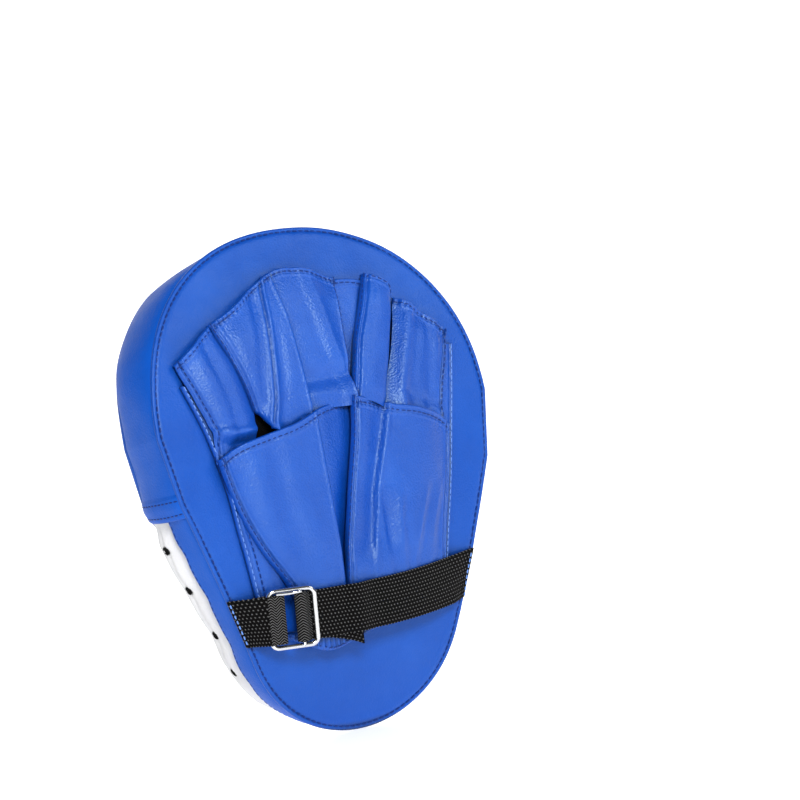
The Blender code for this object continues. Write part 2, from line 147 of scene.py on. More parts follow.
def eased(value, start, end):
    """0 before start, 1 after end, eased between them."""
    ratio = np.clip((value - start) / (end - start), 0.0, 1.0)
    return ratio * ratio * (3.0 - 2.0 * ratio)


def hill(distance, reach):
    """1 at no distance, falling off smoothly."""
    return np.exp(-(distance / reach) ** 2)


def quarter_round(distance, radius):
    """0 at an edge, rising as a quarter of a circle to 1 at the radius."""
    left = 1.0 - np.clip(distance / radius, 0.0, 1.0)
    return np.sqrt(np.clip(1.0 - left * left, 0.0, 1.0))


def hermite(knots, at, wanted):
    """Values on a smooth curve through the knots, which stand at the given places."""
    slopes = np.gradient(knots, at, axis=0)
    span = np.clip(np.searchsorted(at, wanted, side="right") - 1, 0, len(at) - 2)
    width = at[span + 1] - at[span]
    part = (wanted - at[span]) / width
    if knots.ndim > 1:
        part = part[..., None]
        width = width[..., None]
    square = part * part
    cube = square * part
    value = (2 * cube - 3 * square + 1) * knots[span]
    value = value + (cube - 2 * square + part) * width * slopes[span]
    value = value + (3 * square - 2 * cube) * knots[span + 1]
    return value + (cube - square) * width * slopes[span + 1]


def through(points, ratios):
    """Points on a smooth curve through the given ones, at ratios of its length."""
    knots = np.array(points, float)
    if len(knots) == 2:
        return knots[0] + (knots[1] - knots[0]) * np.asarray(ratios)[:, None]
    spans = np.linalg.norm(np.diff(knots, axis=0), axis=1)
    at = np.concatenate([[0.0], np.cumsum(spans)]) / spans.sum()
    return hermite(knots, at, np.asarray(ratios, float))


def shape(ratio, *knots):
    """A smooth height profile through (ratio, height) knots."""
    table = np.array(knots, float)
    return hermite(table[:, 1], table[:, 0], np.clip(ratio, table[0, 0], table[-1, 0]))


def crease_at(along, *line):
    """Across, where a crease drawn through (across, along) points passes a level."""
    table = np.array(line, float)
    return np.interp(along, table[:, 1], table[:, 0])


def ruffle(across, along, across_size, along_size, amount, seed):
    """Soft uneven waves with their own size across and along."""
    flat = np.zeros(across.size)
    for index, (x, y) in enumerate(zip(across.ravel(), along.ravel())):
        flat[index] = noise.noise(Vector((x / across_size, y / along_size, seed * 7.3)))
    return amount * flat.reshape(across.shape)


def crowded(count):
    """Ratios from 0 to 1, closer together near both ends."""
    even = np.linspace(0.0, 1.0, count)
    return even - 0.78 * np.sin(2.0 * math.pi * even) / (2.0 * math.pi)


def right_side(inset, top_steps=64, side_steps=36, tip_steps=56):
    """The right half of the pad's outline as (across, along), from the top centre to the tip."""
    top = TOP_RADIUS - inset
    tip = TIP_RADIUS - inset
    top_centre = PAD_LENGTH - TOP_RADIUS
    lean = math.asin((TOP_RADIUS - TIP_RADIUS) / (top_centre - TIP_RADIUS))
    power = 2.0 / TOP_SQUARENESS
    turn = np.linspace(0.0, math.pi / 2, top_steps + 1)
    crown = np.stack([top * np.sin(turn) ** power,
                      top_centre + top * np.clip(np.cos(turn), 0.0, 1.0) ** power], axis=1)
    start = np.array([top * math.cos(lean), top_centre - top * math.sin(lean)])
    end = np.array([tip * math.cos(lean), TIP_RADIUS - tip * math.sin(lean)])
    ratio = np.linspace(0.0, 1.0, side_steps, endpoint=False)[:, None]
    side = start + (end - start) * ratio
    turn = np.linspace(lean, math.pi / 2, tip_steps + 1)
    foot = np.stack([tip * np.cos(turn), TIP_RADIUS - tip * np.sin(turn)], axis=1)
    return np.concatenate([crown, side, foot])


def outline(inset):
    """The whole outline, once round from the top centre: down the right side, up the left."""
    right = right_side(inset)
    left = right[1:-1][::-1] * (-1.0, 1.0)
    return np.concatenate([right, left])


def half_width(along, inset=0.0):
    """Half the pad's width at a level."""
    right = right_side(inset)[::-1]
    return np.interp(along, right[:, 1], right[:, 0])


def path_reach(points):
    """How far along a path each of its points lies."""
    return np.concatenate([[0.0], np.cumsum(np.linalg.norm(np.diff(points, axis=0), axis=1))])


def even_path(points, count):
    """An open path sampled again at even distances."""
    reach = path_reach(points)
    at = np.linspace(0.0, reach[-1], count)
    return np.stack([np.interp(at, reach, points[:, axis]) for axis in range(points.shape[1])], axis=1)


def path_above(inset, level, count):
    """The outline round the fingertip end, from a level on the right to the same on the left."""
    right = right_side(inset)
    right = right[right[:, 1] > level + 0.5]
    right = np.concatenate([right, [[half_width(level, inset), level]]])
    left = right[1:] * (-1.0, 1.0)
    return even_path(np.concatenate([right[::-1], left]), count)


def path_below(inset, level, count):
    """The outline round the wrist end, from a level on the left to the same on the right."""
    right = right_side(inset)
    right = right[right[:, 1] < level - 0.5]
    right = np.concatenate([[[half_width(level, inset), level]], right])
    left = right[:-1] * (-1.0, 1.0)
    return even_path(np.concatenate([left, right[::-1]]), count)


# Meshes ---------------------------------------------------------------------------------------

def piece(name, points, faces, look, body="pad", uvs=None):
    """A mesh piece that rides on a body, with its own material."""
    mesh = bpy.data.meshes.new(name)
    mesh.from_pydata(np.asarray(points).reshape(-1, 3).tolist(), [], faces)
    mesh.validate()
    mesh.shade_smooth()
    if uvs is not None:
        layer = mesh.uv_layers.new(name="UVMap")
        corners = np.zeros(len(mesh.loops), int)
        mesh.loops.foreach_get("vertex_index", corners)
        layer.data.foreach_set("uv", np.asarray(uvs, float).reshape(-1, 2)[corners].ravel())
    mesh.materials.append(look)
    made = bpy.data.objects.new(name, mesh)
    bpy.context.scene.collection.objects.link(made)
    if body:
        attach(made, body)
    return made


def grid_faces(rows, columns, start=0, flip=False, round_rows=False, round_columns=False):
    """Quads over a grid of points, which may close on itself either way."""
    faces = []
    for row in range(rows if round_rows else rows - 1):
        for column in range(columns if round_columns else columns - 1):
            below = start + row * columns
            above = start + (row + 1) % rows * columns
            beside = (column + 1) % columns
            quad = (below + column, below + beside, above + beside, above + column)
            faces.append(quad[::-1] if flip else quad)
    return faces


def closed_sheet(front, back):
    """Points and faces of a sheet with a front grid, a back grid and a rim between them."""
    rows, columns = front.shape[:2]
    count = rows * columns
    faces = grid_faces(rows, columns) + grid_faces(rows, columns, count, flip=True)
    rim = [(0, column) for column in range(columns)]
    rim += [(row, columns - 1) for row in range(1, rows)]
    rim += [(rows - 1, column) for column in range(columns - 2, -1, -1)]
    rim += [(row, 0) for row in range(rows - 2, 0, -1)]
    for here, there in zip(rim, rim[1:] + rim[:1]):
        one = here[0] * columns + here[1]
        two = there[0] * columns + there[1]
        faces.append((two, one, one + count, two + count))
    return np.concatenate([front.reshape(-1, 3), back.reshape(-1, 3)]), faces


def coons(left, right, bottom, top, rows, columns):
    """A flat grid of (across, along) between four border curves; also its two ratios."""
    up = crowded(rows)
    over = crowded(columns)
    left_line = through(left, up)[:, None]
    right_line = through(right, up)[:, None]
    bottom_line = through(bottom, over)[None]
    top_line = through(top, over)[None]
    s = over[None, :, None]
    t = up[:, None, None]
    corners = (1 - s) * (1 - t) * left_line[0] + s * (1 - t) * right_line[0]
    corners = corners + (1 - s) * t * left_line[-1] + s * t * right_line[-1]
    spots = (1 - t) * bottom_line + t * top_line + (1 - s) * left_line + s * right_line - corners
    s_grid, t_grid = np.meshgrid(over, up)
    return spots, s_grid, t_grid


class Panel:
    """A leather panel of the glove, laid over the pad between four borders.

    grid holds its outer surface as (across, along, rise); the distances are in mm from its edges.
    """

    def __init__(self, left, right, bottom, top, rows=70, columns=64):
        spots, self.s, self.t = coons(left, right, bottom, top, rows, columns)
        self.u = spots[..., 0]
        self.v = spots[..., 1]
        self.from_left = self.reach(1, False)
        self.from_right = self.reach(1, True)
        self.from_bottom = self.reach(0, False)
        self.from_top = self.reach(0, True)
        self.grid = None

    def reach(self, axis, backwards):
        """Distance of each point from one edge, measured along the grid."""
        steps = np.hypot(np.diff(self.u, axis=axis), np.diff(self.v, axis=axis))
        if backwards:
            steps = np.flip(steps, axis=axis)
        total = np.cumsum(steps, axis=axis)
        total = np.concatenate([np.zeros_like(np.take(total, [0], axis=axis)), total], axis=axis)
        return np.flip(total, axis=axis) if backwards else total

    def beside(self, *line):
        """Distance across from a crease drawn through (across, along) points."""
        return self.u - crease_at(self.v, *line)

    def ruffle(self, across_size, along_size, amount, seed):
        """Soft uneven waves over the panel."""
        return ruffle(self.u, self.v, across_size, along_size, amount, seed)

    def make(self, name, rise, look, slot, replaced=None, held="stretched", goes_with=()):
        """Build the panel at these heights, as a closed sheet of leather."""
        self.grid = np.stack([self.u, self.v, rise], axis=-1)
        under = self.grid.copy()
        under[..., 2] -= LEATHER
        points, faces = closed_sheet(bend_points(self.grid), bend_points(under))
        flat = np.stack([self.u, self.v], axis=-1).reshape(-1, 2) * MM
        made = piece(name, points, faces, look, uvs=np.concatenate([flat, flat]))
        if replaced:
            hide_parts(replaced)
        return made

    def line(self, side, distance):
        """Points on the surface along one edge, at a distance inside it."""
        turned = {
            "bottom": self.grid,
            "top": self.grid[::-1],
            "left": self.grid.transpose(1, 0, 2),
            "right": self.grid.transpose(1, 0, 2)[::-1],
        }[side]
        points = []
        for column in range(turned.shape[1]):
            run = turned[:, column]
            reach = path_reach(run)
            points.append([np.interp(distance, reach, run[:, axis]) for axis in range(3)])
        return np.array(points)


def stitch_template():
    """One stitch as a short rounded bar: unit length along X, unit width and height."""
    stations = ((-0.5, 0.25), (-0.42, 0.75), (-0.15, 1.0), (0.15, 1.0), (0.42, 0.75), (0.5, 0.25))
    sides = 6
    points = []
    for place, size in stations:
        for step in range(sides):
            turn = 2.0 * math.pi * step / sides
            points.append((place, 0.5 * size * math.cos(turn), 0.5 * size * math.sin(turn)))
    faces = grid_faces(len(stations), sides, round_columns=True)
    faces.append(tuple(range(sides)))
    faces.append(tuple(range(len(points) - 1, len(points) - 1 - sides, -1)))
    return np.array(points), faces


def sew(name, seams, look, pitch=SEAM_PITCH, length=2.5, width=0.62, height=0.5):
    """Rows of stitches along world lines; each seam is (points, outward directions)."""
    bar, bar_faces = stitch_template()
    points = []
    faces = []
    for line, outwards in seams:
        joined = np.concatenate([line, outwards], axis=1)
        steps = np.linalg.norm(np.diff(line, axis=0), axis=1)
        count = max(2, int(round(steps.sum() / (pitch * MM))))
        reach = np.concatenate([[0.0], np.cumsum(steps)])
        for index in range(count):
            middle = (index + 0.5) / count * reach[-1]
            half = 0.5 * length * MM
            places = [np.array([np.interp(middle + side * half, reach, joined[:, axis])
                                for axis in range(6)]) for side in (-1.0, 0.0, 1.0)]
            forward = places[2][:3] - places[0][:3]
            forward /= np.linalg.norm(forward)
            up = places[1][3:] / np.linalg.norm(places[1][3:])
            beside = np.cross(up, forward)
            centre = places[1][:3]
            start = len(points)
            for x, y, z in bar * (length * MM, width * MM, height * MM):
                points.append(centre + forward * x + beside * y + up * z)
            faces += [tuple(start + corner for corner in face) for face in bar_faces]
    return piece(name, np.array(points), faces, look)


def on_pad(line):
    """A seam for sew(): points of (across, along, rise) with the pad's own outward direction."""
    above = line + (0.0, 0.0, 1.0)
    start = bend_points(line)
    return start, (bend_points(above) - start) / MM


# Materials ------------------------------------------------------------------------------------

class Nodes:
    """Short names for building one material's nodes."""

    def __init__(self, name):
        self.material = bpy.data.materials.new(name)
        self.material.use_nodes = True
        self.tree = self.material.node_tree
        self.shader = self.tree.nodes["Principled BSDF"]

    def add(self, kind, **settings):
        """A new node, with its inputs' values and its settings by name."""
        node = self.tree.nodes.new(kind)
        for key, value in settings.items():
            if key in node.inputs:
                node.inputs[key].default_value = value
            else:
                setattr(node, key, value)
        return node

    def join(self, output, target):
        """Link an output to an input."""
        self.tree.links.new(output, target)

    def math(self, operation, first, second=None):
        """The result of a sum on numbers or other nodes' outputs."""
        node = self.add("ShaderNodeMath", operation=operation)
        for socket, value in zip(node.inputs, (first, second)):
            if isinstance(value, (int, float)):
                socket.default_value = value
            elif value is not None:
                self.join(value, socket)
        return node.outputs[0]

    def wave(self, value):
        """Rounded ridges, one for each unit of the value."""
        return self.math("ABSOLUTE", self.math("SINE", self.math("MULTIPLY", value, math.pi)))

    def ramp(self, factor, *stops):
        """A colour ramp through (position, colour) stops."""
        node = self.add("ShaderNodeValToRGB")
        while len(node.color_ramp.elements) < len(stops):
            node.color_ramp.elements.new(0.5)
        for element, (position, colour) in zip(node.color_ramp.elements, stops):
            element.position = position
            element.color = (*colour, 1.0)
        self.join(factor, node.inputs["Fac"])
        return node.outputs["Color"]

    def place(self, kind="Object"):
        """Coordinates on the object, in metres."""
        return self.add("ShaderNodeTexCoord").outputs[kind]

    def noise(self, scale, detail=3.0, rough=0.5):
        """Soft noise, with its scale in features for each metre."""
        node = self.add("ShaderNodeTexNoise", Scale=scale, Detail=detail, Roughness=rough)
        self.join(self.place(), node.inputs["Vector"])
        return node.outputs["Fac"]

    def cells(self, scale, feature="F1"):
        """Distances inside a pattern of cells, with its scale in cells for each metre."""
        node = self.add("ShaderNodeTexVoronoi", feature=feature, Scale=scale)
        self.join(self.place(), node.inputs["Vector"])
        return node.outputs["Distance"]

    def bump(self, *layers):
        """Bump from (height, strength, distance in metres) layers, one over the other."""
        normal = None
        for height, strength, distance in layers:
            node = self.add("ShaderNodeBump", Strength=strength, Distance=distance)
            self.join(height, node.inputs["Height"])
            if normal:
                self.join(normal, node.inputs["Normal"])
            normal = node.outputs["Normal"]
        self.join(normal, self.shader.inputs["Normal"])

    def set(self, **values):
        """Values of the shader's own inputs, by name, with _ for a space."""
        for key, value in values.items():
            self.shader.inputs[key.replace("_", " ")].default_value = value


WHITE = (1.0, 1.0, 1.0)
BLACK = (0.0, 0.0, 0.0)


def leather(name, colour, dark, light, roughness, grain=1100.0, grain_depth=0.0002, coat=0.1,
            crease_depth=0.0, gloss=0.5, tint=WHITE, painted_crease_shade=0.3):
    """Coated leather: fine pebbled grain, soft colour drift, lighter on its sharply raised edges, and
    painted shade that darkens its creases and recesses.
    """
    made = Nodes(name)
    drift = made.noise(28.0, 4.0, 0.6)
    base = made.ramp(drift, (0.25, dark), (0.55, colour), (0.85, light))
    # Lighter colour on sharply raised edges, found from their pointiness.
    edges = made.add("ShaderNodeNewGeometry").outputs["Pointiness"]
    edge_lightening = made.ramp(edges, (0.5, BLACK), (0.62, WHITE))
    mix = made.add("ShaderNodeMix", data_type="RGBA", blend_type="MIX")
    made.join(made.math("MULTIPLY", edge_lightening, 0.35), mix.inputs["Factor"])
    made.join(base, mix.inputs["A"])
    mix.inputs["B"].default_value = (*light, 1.0)
    # Painted shade: ambient occlusion darkens the colour in creases, recesses and between parts; the last
    # argument sets how dark the deepest shade is.
    crease_occlusion = made.add("ShaderNodeAmbientOcclusion", samples=8, Distance=0.007)
    crease_shading = made.add("ShaderNodeMix", data_type="RGBA", blend_type="MULTIPLY", Factor=1.0)
    made.join(mix.outputs["Result"], crease_shading.inputs["A"])
    made.join(made.ramp(crease_occlusion.outputs["AO"], (0.25, (painted_crease_shade,) * 3), (0.80, WHITE)),
              crease_shading.inputs["B"])
    made.join(crease_shading.outputs["Result"], made.shader.inputs["Base Color"])
    smear = made.noise(90.0, 5.0, 0.6)
    made.join(made.ramp(smear, (0.3, (roughness - 0.06,) * 3), (0.75, (roughness + 0.08,) * 3)),
              made.shader.inputs["Roughness"])
    pores = made.cells(grain, "SMOOTH_F1")
    fine = made.noise(grain * 2.2, 2.0)
    layers = [(pores, 0.7, grain_depth), (fine, 0.5, grain_depth * 0.7)]
    if crease_depth:
        layers.append((made.noise(60.0, 5.0, 0.62), 0.5, crease_depth))
    made.bump(*layers)
    made.set(Coat_Weight=coat, Coat_Roughness=0.25, Specular_IOR_Level=gloss, Specular_Tint=(*tint, 1.0))
    return made.material


def woven(name, colour, light, across_count, along_count, turned=(1.0, 1.0), depth=0.0006):
    """Woven webbing from UVs in metres: a basket weave, with herringbone on one stretch of its run, its
    raised yarns painted lighter as highlights.
    """
    made = Nodes(name)
    split = made.add("ShaderNodeSeparateXYZ")
    made.join(made.place("UV"), split.inputs["Vector"])
    run, width = split.outputs["X"], split.outputs["Y"]
    picks = made.math("MULTIPLY", run, along_count)
    yarns = made.math("MULTIPLY", width, across_count)
    zigzag = made.math("ABSOLUTE", made.math("SUBTRACT", made.math("FRACT", made.math(
        "MULTIPLY", run, 190.0)), 0.5))
    ribs = made.wave(made.math("ADD", made.math("MULTIPLY", width, 760.0),
                               made.math("MULTIPLY", zigzag, 3.2)))
    shifted = made.math("ADD", picks, made.math("MULTIPLY", made.math("FLOOR", yarns), 0.5))
    slanted = made.math("ADD", shifted, made.math("MULTIPLY", made.math("FRACT", yarns), 0.3))
    basket = made.math("MULTIPLY", made.wave(slanted), made.math("POWER", made.wave(yarns), 0.7))
    mask = made.math("MULTIPLY", made.math("GREATER_THAN", run, turned[0]),
                     made.math("LESS_THAN", run, turned[1]))
    change = made.math("MULTIPLY", made.math("SUBTRACT", ribs, basket), mask)
    height = made.math("ADD", basket, change)
    fuzz = made.noise(5200.0, 2.0)
    # Painted highlight: the raised yarns are coloured lighter, with a little random fuzz.
    tone = made.math("ADD", made.math("MULTIPLY", made.math("POWER", height, 3.2), 0.85),
                     made.math("MULTIPLY", fuzz, 0.15))
    made.join(made.ramp(tone, (0.40, colour), (0.95, light)), made.shader.inputs["Base Color"])
    made.bump((height, 1.0, depth), (fuzz, 0.3, depth * 0.3))
    made.set(Roughness=0.75, Sheen_Weight=0.01, Sheen_Roughness=0.5, Specular_IOR_Level=0.08)
    return made.material


def thread(name, colour, light):
    """Sewing thread: a fine twist in colour and bump."""
    made = Nodes(name)
    twist = made.noise(3000.0, 2.0)
    made.join(made.ramp(twist, (0.3, colour), (0.7, light)), made.shader.inputs["Base Color"])
    made.bump((twist, 0.5, 0.0001))
    made.set(Roughness=0.6, Specular_IOR_Level=0.25)
    return made.material


def foam(name, colour, dark):
    """Cut foam: open cells."""
    made = Nodes(name)
    pores = made.cells(900.0)
    made.join(made.ramp(pores, (0.1, dark), (0.6, colour)), made.shader.inputs["Base Color"])
    made.bump((pores, 0.8, 0.0004))
    made.set(Roughness=0.9)
    return made.material


def chrome(name):
    """Plated wire with faint drawing scratches."""
    made = Nodes(name)
    scratches = made.noise(1500.0, 4.0, 0.7)
    made.join(made.ramp(scratches, (0.3, (0.62, 0.63, 0.65)), (0.7, (0.86, 0.87, 0.88))),
              made.shader.inputs["Base Color"])
    made.join(made.ramp(made.noise(300.0), (0.3, (0.06,) * 3), (0.8, (0.2,) * 3)),
              made.shader.inputs["Roughness"])
    made.bump((scratches, 0.12, 0.00008))
    made.set(Metallic=1.0)
    return made.material


HAZE = (0.72, 1.0, 1.0)
BLUE_SKIN = leather("blue_skin", (0.002, 0.072, 0.45), (0.001, 0.060, 0.40), (0.005, 0.086, 0.50),
                    0.38, coat=0.0, crease_depth=0.0003, gloss=0.45, tint=HAZE)
BLUE_SOFT = leather("blue_soft", (0.002, 0.070, 0.46), (0.001, 0.056, 0.40), (0.008, 0.096, 0.54),
                    0.36, grain_depth=0.0003, coat=0.0, crease_depth=0.00015, gloss=0.7, tint=HAZE)
# Painted light: the skin's blue leather made lighter for the side walls, which face away from the key
# light; also rougher and less glossy.
BLUE_WALL_LIGHTENED = leather("blue_wall_lightened", (0.003, 0.100, 0.58), (0.002, 0.086, 0.52), (0.006, 0.115, 0.63),
                    0.50, coat=0.0, crease_depth=0.0004, gloss=0.25, tint=HAZE)
WHITE_SKIN = leather("white_skin", (0.80, 0.80, 0.81), (0.74, 0.74, 0.76), (0.86, 0.86, 0.87),
                     0.40, crease_depth=0.0005, painted_crease_shade=0.85)
BLACK_SKIN = leather("black_skin", (0.010, 0.010, 0.011), (0.007, 0.007, 0.008),
                     (0.020, 0.020, 0.021), 0.47, grain=750.0, grain_depth=0.00028, coat=0.0, gloss=0.3)
TARGET_PRINT = leather("target_print", (0.83, 0.83, 0.84), (0.79, 0.79, 0.80), (0.87, 0.87, 0.88),
                       0.42, grain=750.0, grain_depth=0.00022, coat=0.1, painted_crease_shade=0.9)
WEB_BLACK = (0.0015, 0.0015, 0.0015)
# Painted highlight colour for the weave's raised yarns.
WEB_CROWN_HIGHLIGHT = (0.15, 0.15, 0.15)
STRAP_WEAVE = woven("strap_weave", WEB_BLACK, WEB_CROWN_HIGHLIGHT, 560.0, 520.0, turned=(0.0305, 0.047))
ANCHOR_WEAVE = woven("anchor_weave", WEB_BLACK, WEB_CROWN_HIGHLIGHT, 560.0, 520.0, turned=(0.0175, 1.0))
LINING_WEAVE = woven("lining_weave", (0.001, 0.001, 0.001), (0.006, 0.006, 0.006), 1300.0, 1300.0,
                     depth=0.0002)
DARK_THREAD = thread("dark_blue_thread", (0.004, 0.022, 0.15), (0.010, 0.045, 0.26))
# Partly painted highlight: light thread at the strap's ends, and on the glove's sewn borders the dark blue
# thread painted lighter as a highlight.
PALE_THREAD_AND_HIGHLIGHT = thread("pale_blue_thread_and_highlight", (0.10, 0.24, 0.72), (0.20, 0.38, 0.85))
# Partly painted shade: the black foam seen through the air holes, darker than the impact foam itself to
# stand for the shade inside them.
VENT_FOAM_AND_SHADE = foam("vent_foam_and_shade", (0.006, 0.006, 0.006), (0.002, 0.002, 0.002))
CHROME = chrome("chrome_wire")


# Pad body -------------------------------------------------------------------------------------

def rings(section):
    """Closed loops round the pad from (inset, rise) pairs."""
    return [np.column_stack([outline(inset), np.full(len(outline(0.0)), rise)])
            for inset, rise in section]


def fill_rings(last, count):
    """Loops from the last one in to the pad's middle line."""
    spine = np.column_stack([np.zeros(len(last)),
                             np.clip(last[:, 1], TIP_RADIUS, PAD_LENGTH - TOP_RADIUS),
                             last[:, 2]])
    return [last + (spine - last) * (step / count) for step in range(1, count + 1)]


def seam_loop(inset, rise):
    """A closed seam round the pad, as points of (across, along, rise)."""
    line = rings([(inset, rise)])[0]
    return np.concatenate([line, line[:1]])


def stitch_dents(loop, distance, width):
    """Dents along a row of stitches, fading with the distance from it."""
    return 0.14 * hill(distance, width) * np.cos(path_reach(loop) * (2.0 * math.pi / SEAM_PITCH))


def loop_piece(name, loops, look, flip=False):
    """A piece from closed loops, first to last, with flat distances as UVs."""
    grid = np.array(loops)
    faces = grid_faces(grid.shape[0], grid.shape[1], round_columns=True, flip=flip)
    return piece(name, bend_points(grid), faces, look, uvs=grid[..., :2] * MM)


def back_skin():
    """The glove-side panel, rolled down into its edge seam, with a groove under the stitches."""
    section = [(1.4, -2.6), (0.3, -2.3), (-0.6, -1.7), (-0.95, -1.0), (-0.8, -0.3), (-0.25, 0.1),
               (0.35, 0.15), (0.9, -0.05), (1.3, -0.35), (1.8, -0.05), (2.6, 0.25), (3.8, 0.32),
               (5.5, 0.2), (8.0, 0.1)]
    loops = rings(section)
    loops += fill_rings(loops[-1], 26)
    for loop, (inset, _) in zip(loops, section):
        loop[:, 2] += stitch_dents(loop, inset - 1.3, 1.8)
    for loop in loops:
        loop[:, 2] += ruffle(loop[:, 0], loop[:, 1], 26.0, 26.0, 0.4, 3.0)
    made = loop_piece("back_skin", loops, BLUE_SKIN, flip=True)
    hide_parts("back_panel")
    return seam_loop(1.3, 0.0)


def wall_grid(path_of, level, count, section):
    """A side wall from (inset, depth) pairs; returns points of (across, along, rise)."""
    return np.array([np.column_stack([path_of(inset, level, count), np.full(count, -depth)])
                     for inset, depth in section])


def outward(grid):
    """Sideways directions of a wall's middle row, for stitches."""
    loop = grid[:, :2]
    along = np.gradient(loop, axis=0)
    side = np.column_stack([along[:, 1], -along[:, 0]])
    side /= np.linalg.norm(side, axis=1)[:, None]
    return side


def wall_seam(grid):
    """A seam for sew() on a wall: its points and sideways directions."""
    side = outward(grid)
    start = bend_points(grid)
    moved = grid + np.column_stack([side, np.zeros(len(side))])
    return start, (bend_points(moved) - start) / MM


def from_ends(reach):
    """Distances from the nearer end of a path, from its own distances."""
    return np.minimum(reach, reach[-1] - reach)


def wall_piece(name, grid, runs, look):
    """A side wall's piece, with its unrolled length and depth as UVs."""
    uvs = np.stack([runs, grid[..., 2]], axis=-1) * MM
    return piece(name, bend_points(grid), grid_faces(*grid.shape[:2], flip=True), look, uvs=uvs)


def upper_wall():
    """The side wall round the fingertip end, in dimmer light and painted lighter to offset it, puffed
    between its seams, hemmed at both ends.
    """
    depths = np.concatenate([[0.9, 1.2], np.linspace(1.8, PAD_DEPTH - 2.2, 18), [PAD_DEPTH - 1.6]])
    ratios = (depths - depths[0]) / (depths[-1] - depths[0])
    section = [(0.6, depth) for depth in depths]
    grid = wall_grid(path_above, STEP_LEVEL - WALL_OVERLAP, WALL_COLUMNS, section)
    reach = path_reach(grid[8])
    from_end = from_ends(reach)
    hem = 0.8 * (1.0 - eased(from_end, 10.6, 11.8)) + 0.25 * hill(from_end - 6.3, 2.0)
    hem *= 1.0 - 0.6 * (1.0 - quarter_round(from_end, 1.0))
    rows = np.arange(len(section))[:, None]
    runs = np.tile(reach, (len(section), 1))
    ripples = ruffle(runs, -grid[..., 2], 17.0, 30.0, 0.8, 5.0)
    tight = np.sin(math.pi * rows / (len(section) - 1))
    full = fullness(grid[8, :, 1])
    for row, ratio in enumerate(ratios):
        puff = (2.2 + 3.0 * full) * np.sin(math.pi * ratio) ** 0.45 + (3.0 * full - 0.6) * ratio
        grid[row, :, :2] += outward(grid[row]) * (hem + puff + ripples[row] * tight[row])[:, None]
    made = wall_piece("upper_wall", grid, runs, BLUE_WALL_LIGHTENED)
    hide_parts("upper_side_wall")
    add_rim(made, SKIN)
    seams = []
    for distance in (3.2, 9.4, reach[-1] - 3.2, reach[-1] - 9.4):
        column = np.searchsorted(reach, distance)
        line = grid[1:-1, column]
        moved = line + np.append(outward(grid[len(section) // 2])[column], 0.0)
        start = bend_points(line)
        seams.append((start, (bend_points(moved) - start) / MM))
    return seams


def fullness(along):
    """Where the pad's far edge is fullest: its shoulders, and a little beside the wall's ends."""
    shoulders = eased(along, 160.0, 200.0) * (1.0 - eased(along, 226.0, 246.0))
    return shoulders + 0.5 * hill(along - STEP_LEVEL, 16.0)


def add_rim(made, thickness):
    """Give an open skin its thickness."""
    shell = made.modifiers.new("thickness", "SOLIDIFY")
    shell.thickness = thickness * MM
    shell.offset = -1.0


def strip_flare(along):
    """How far the side's strips stand out between the wall's ends and the strap."""
    return 4.4 * eased(along, 45.0, 100.0) * (1.0 - 0.8 * eased(along, 104.0, 116.0))


def strip_edge(along):
    """How much deeper the blue strip's edge runs than its seam, notched beside each air hole."""
    notches = sum(hill(along - level + 5.0, 5.0) for level in VENT_LEVELS)
    return 0.4 + 1.4 * eased(along, 70.0, 118.0) - 1.5 * notches


def lower_blue_strip():
    """The narrow blue strip beside the back seam, with a slightly scalloped outer edge."""
    section = [(0.9, 1.0), (0.2, 1.6), (-0.4, 2.6), (-0.8, 4.0), (-1.2, 7.0), (-1.4, 10.0),
               (-1.4, 13.0), (-1.2, 15.5), (-1.0, 16.8), (-0.4, 17.6), (1.0, 18.2)]
    grid = wall_grid(path_below, STRIP_TOP, WALL_COLUMNS, section)
    reach = path_reach(grid[4])
    for row, (_, depth) in enumerate(section):
        share = float(eased(depth, 9.0, 16.5))
        flare = INNER_FLARE * share * strip_flare(grid[row, :, 1])
        grid[row, :, 2] -= share * strip_edge(grid[row, :, 1])
        grid[row, :, :2] += outward(grid[row]) * flare[:, None]
    runs = np.tile(reach, (len(section), 1))
    # Painted light: the lighter wall blue offsets the side's dimmer light.
    made = wall_piece("lower_strip", grid, runs, BLUE_WALL_LIGHTENED)
    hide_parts("lower_side_strip")
    add_rim(made, SKIN)
    return [wall_seam(grid[7])]


def vent_places():
    """Each air hole as (side, level)."""
    return [(side, level) for side in (-1.0, 1.0) for level in VENT_LEVELS]


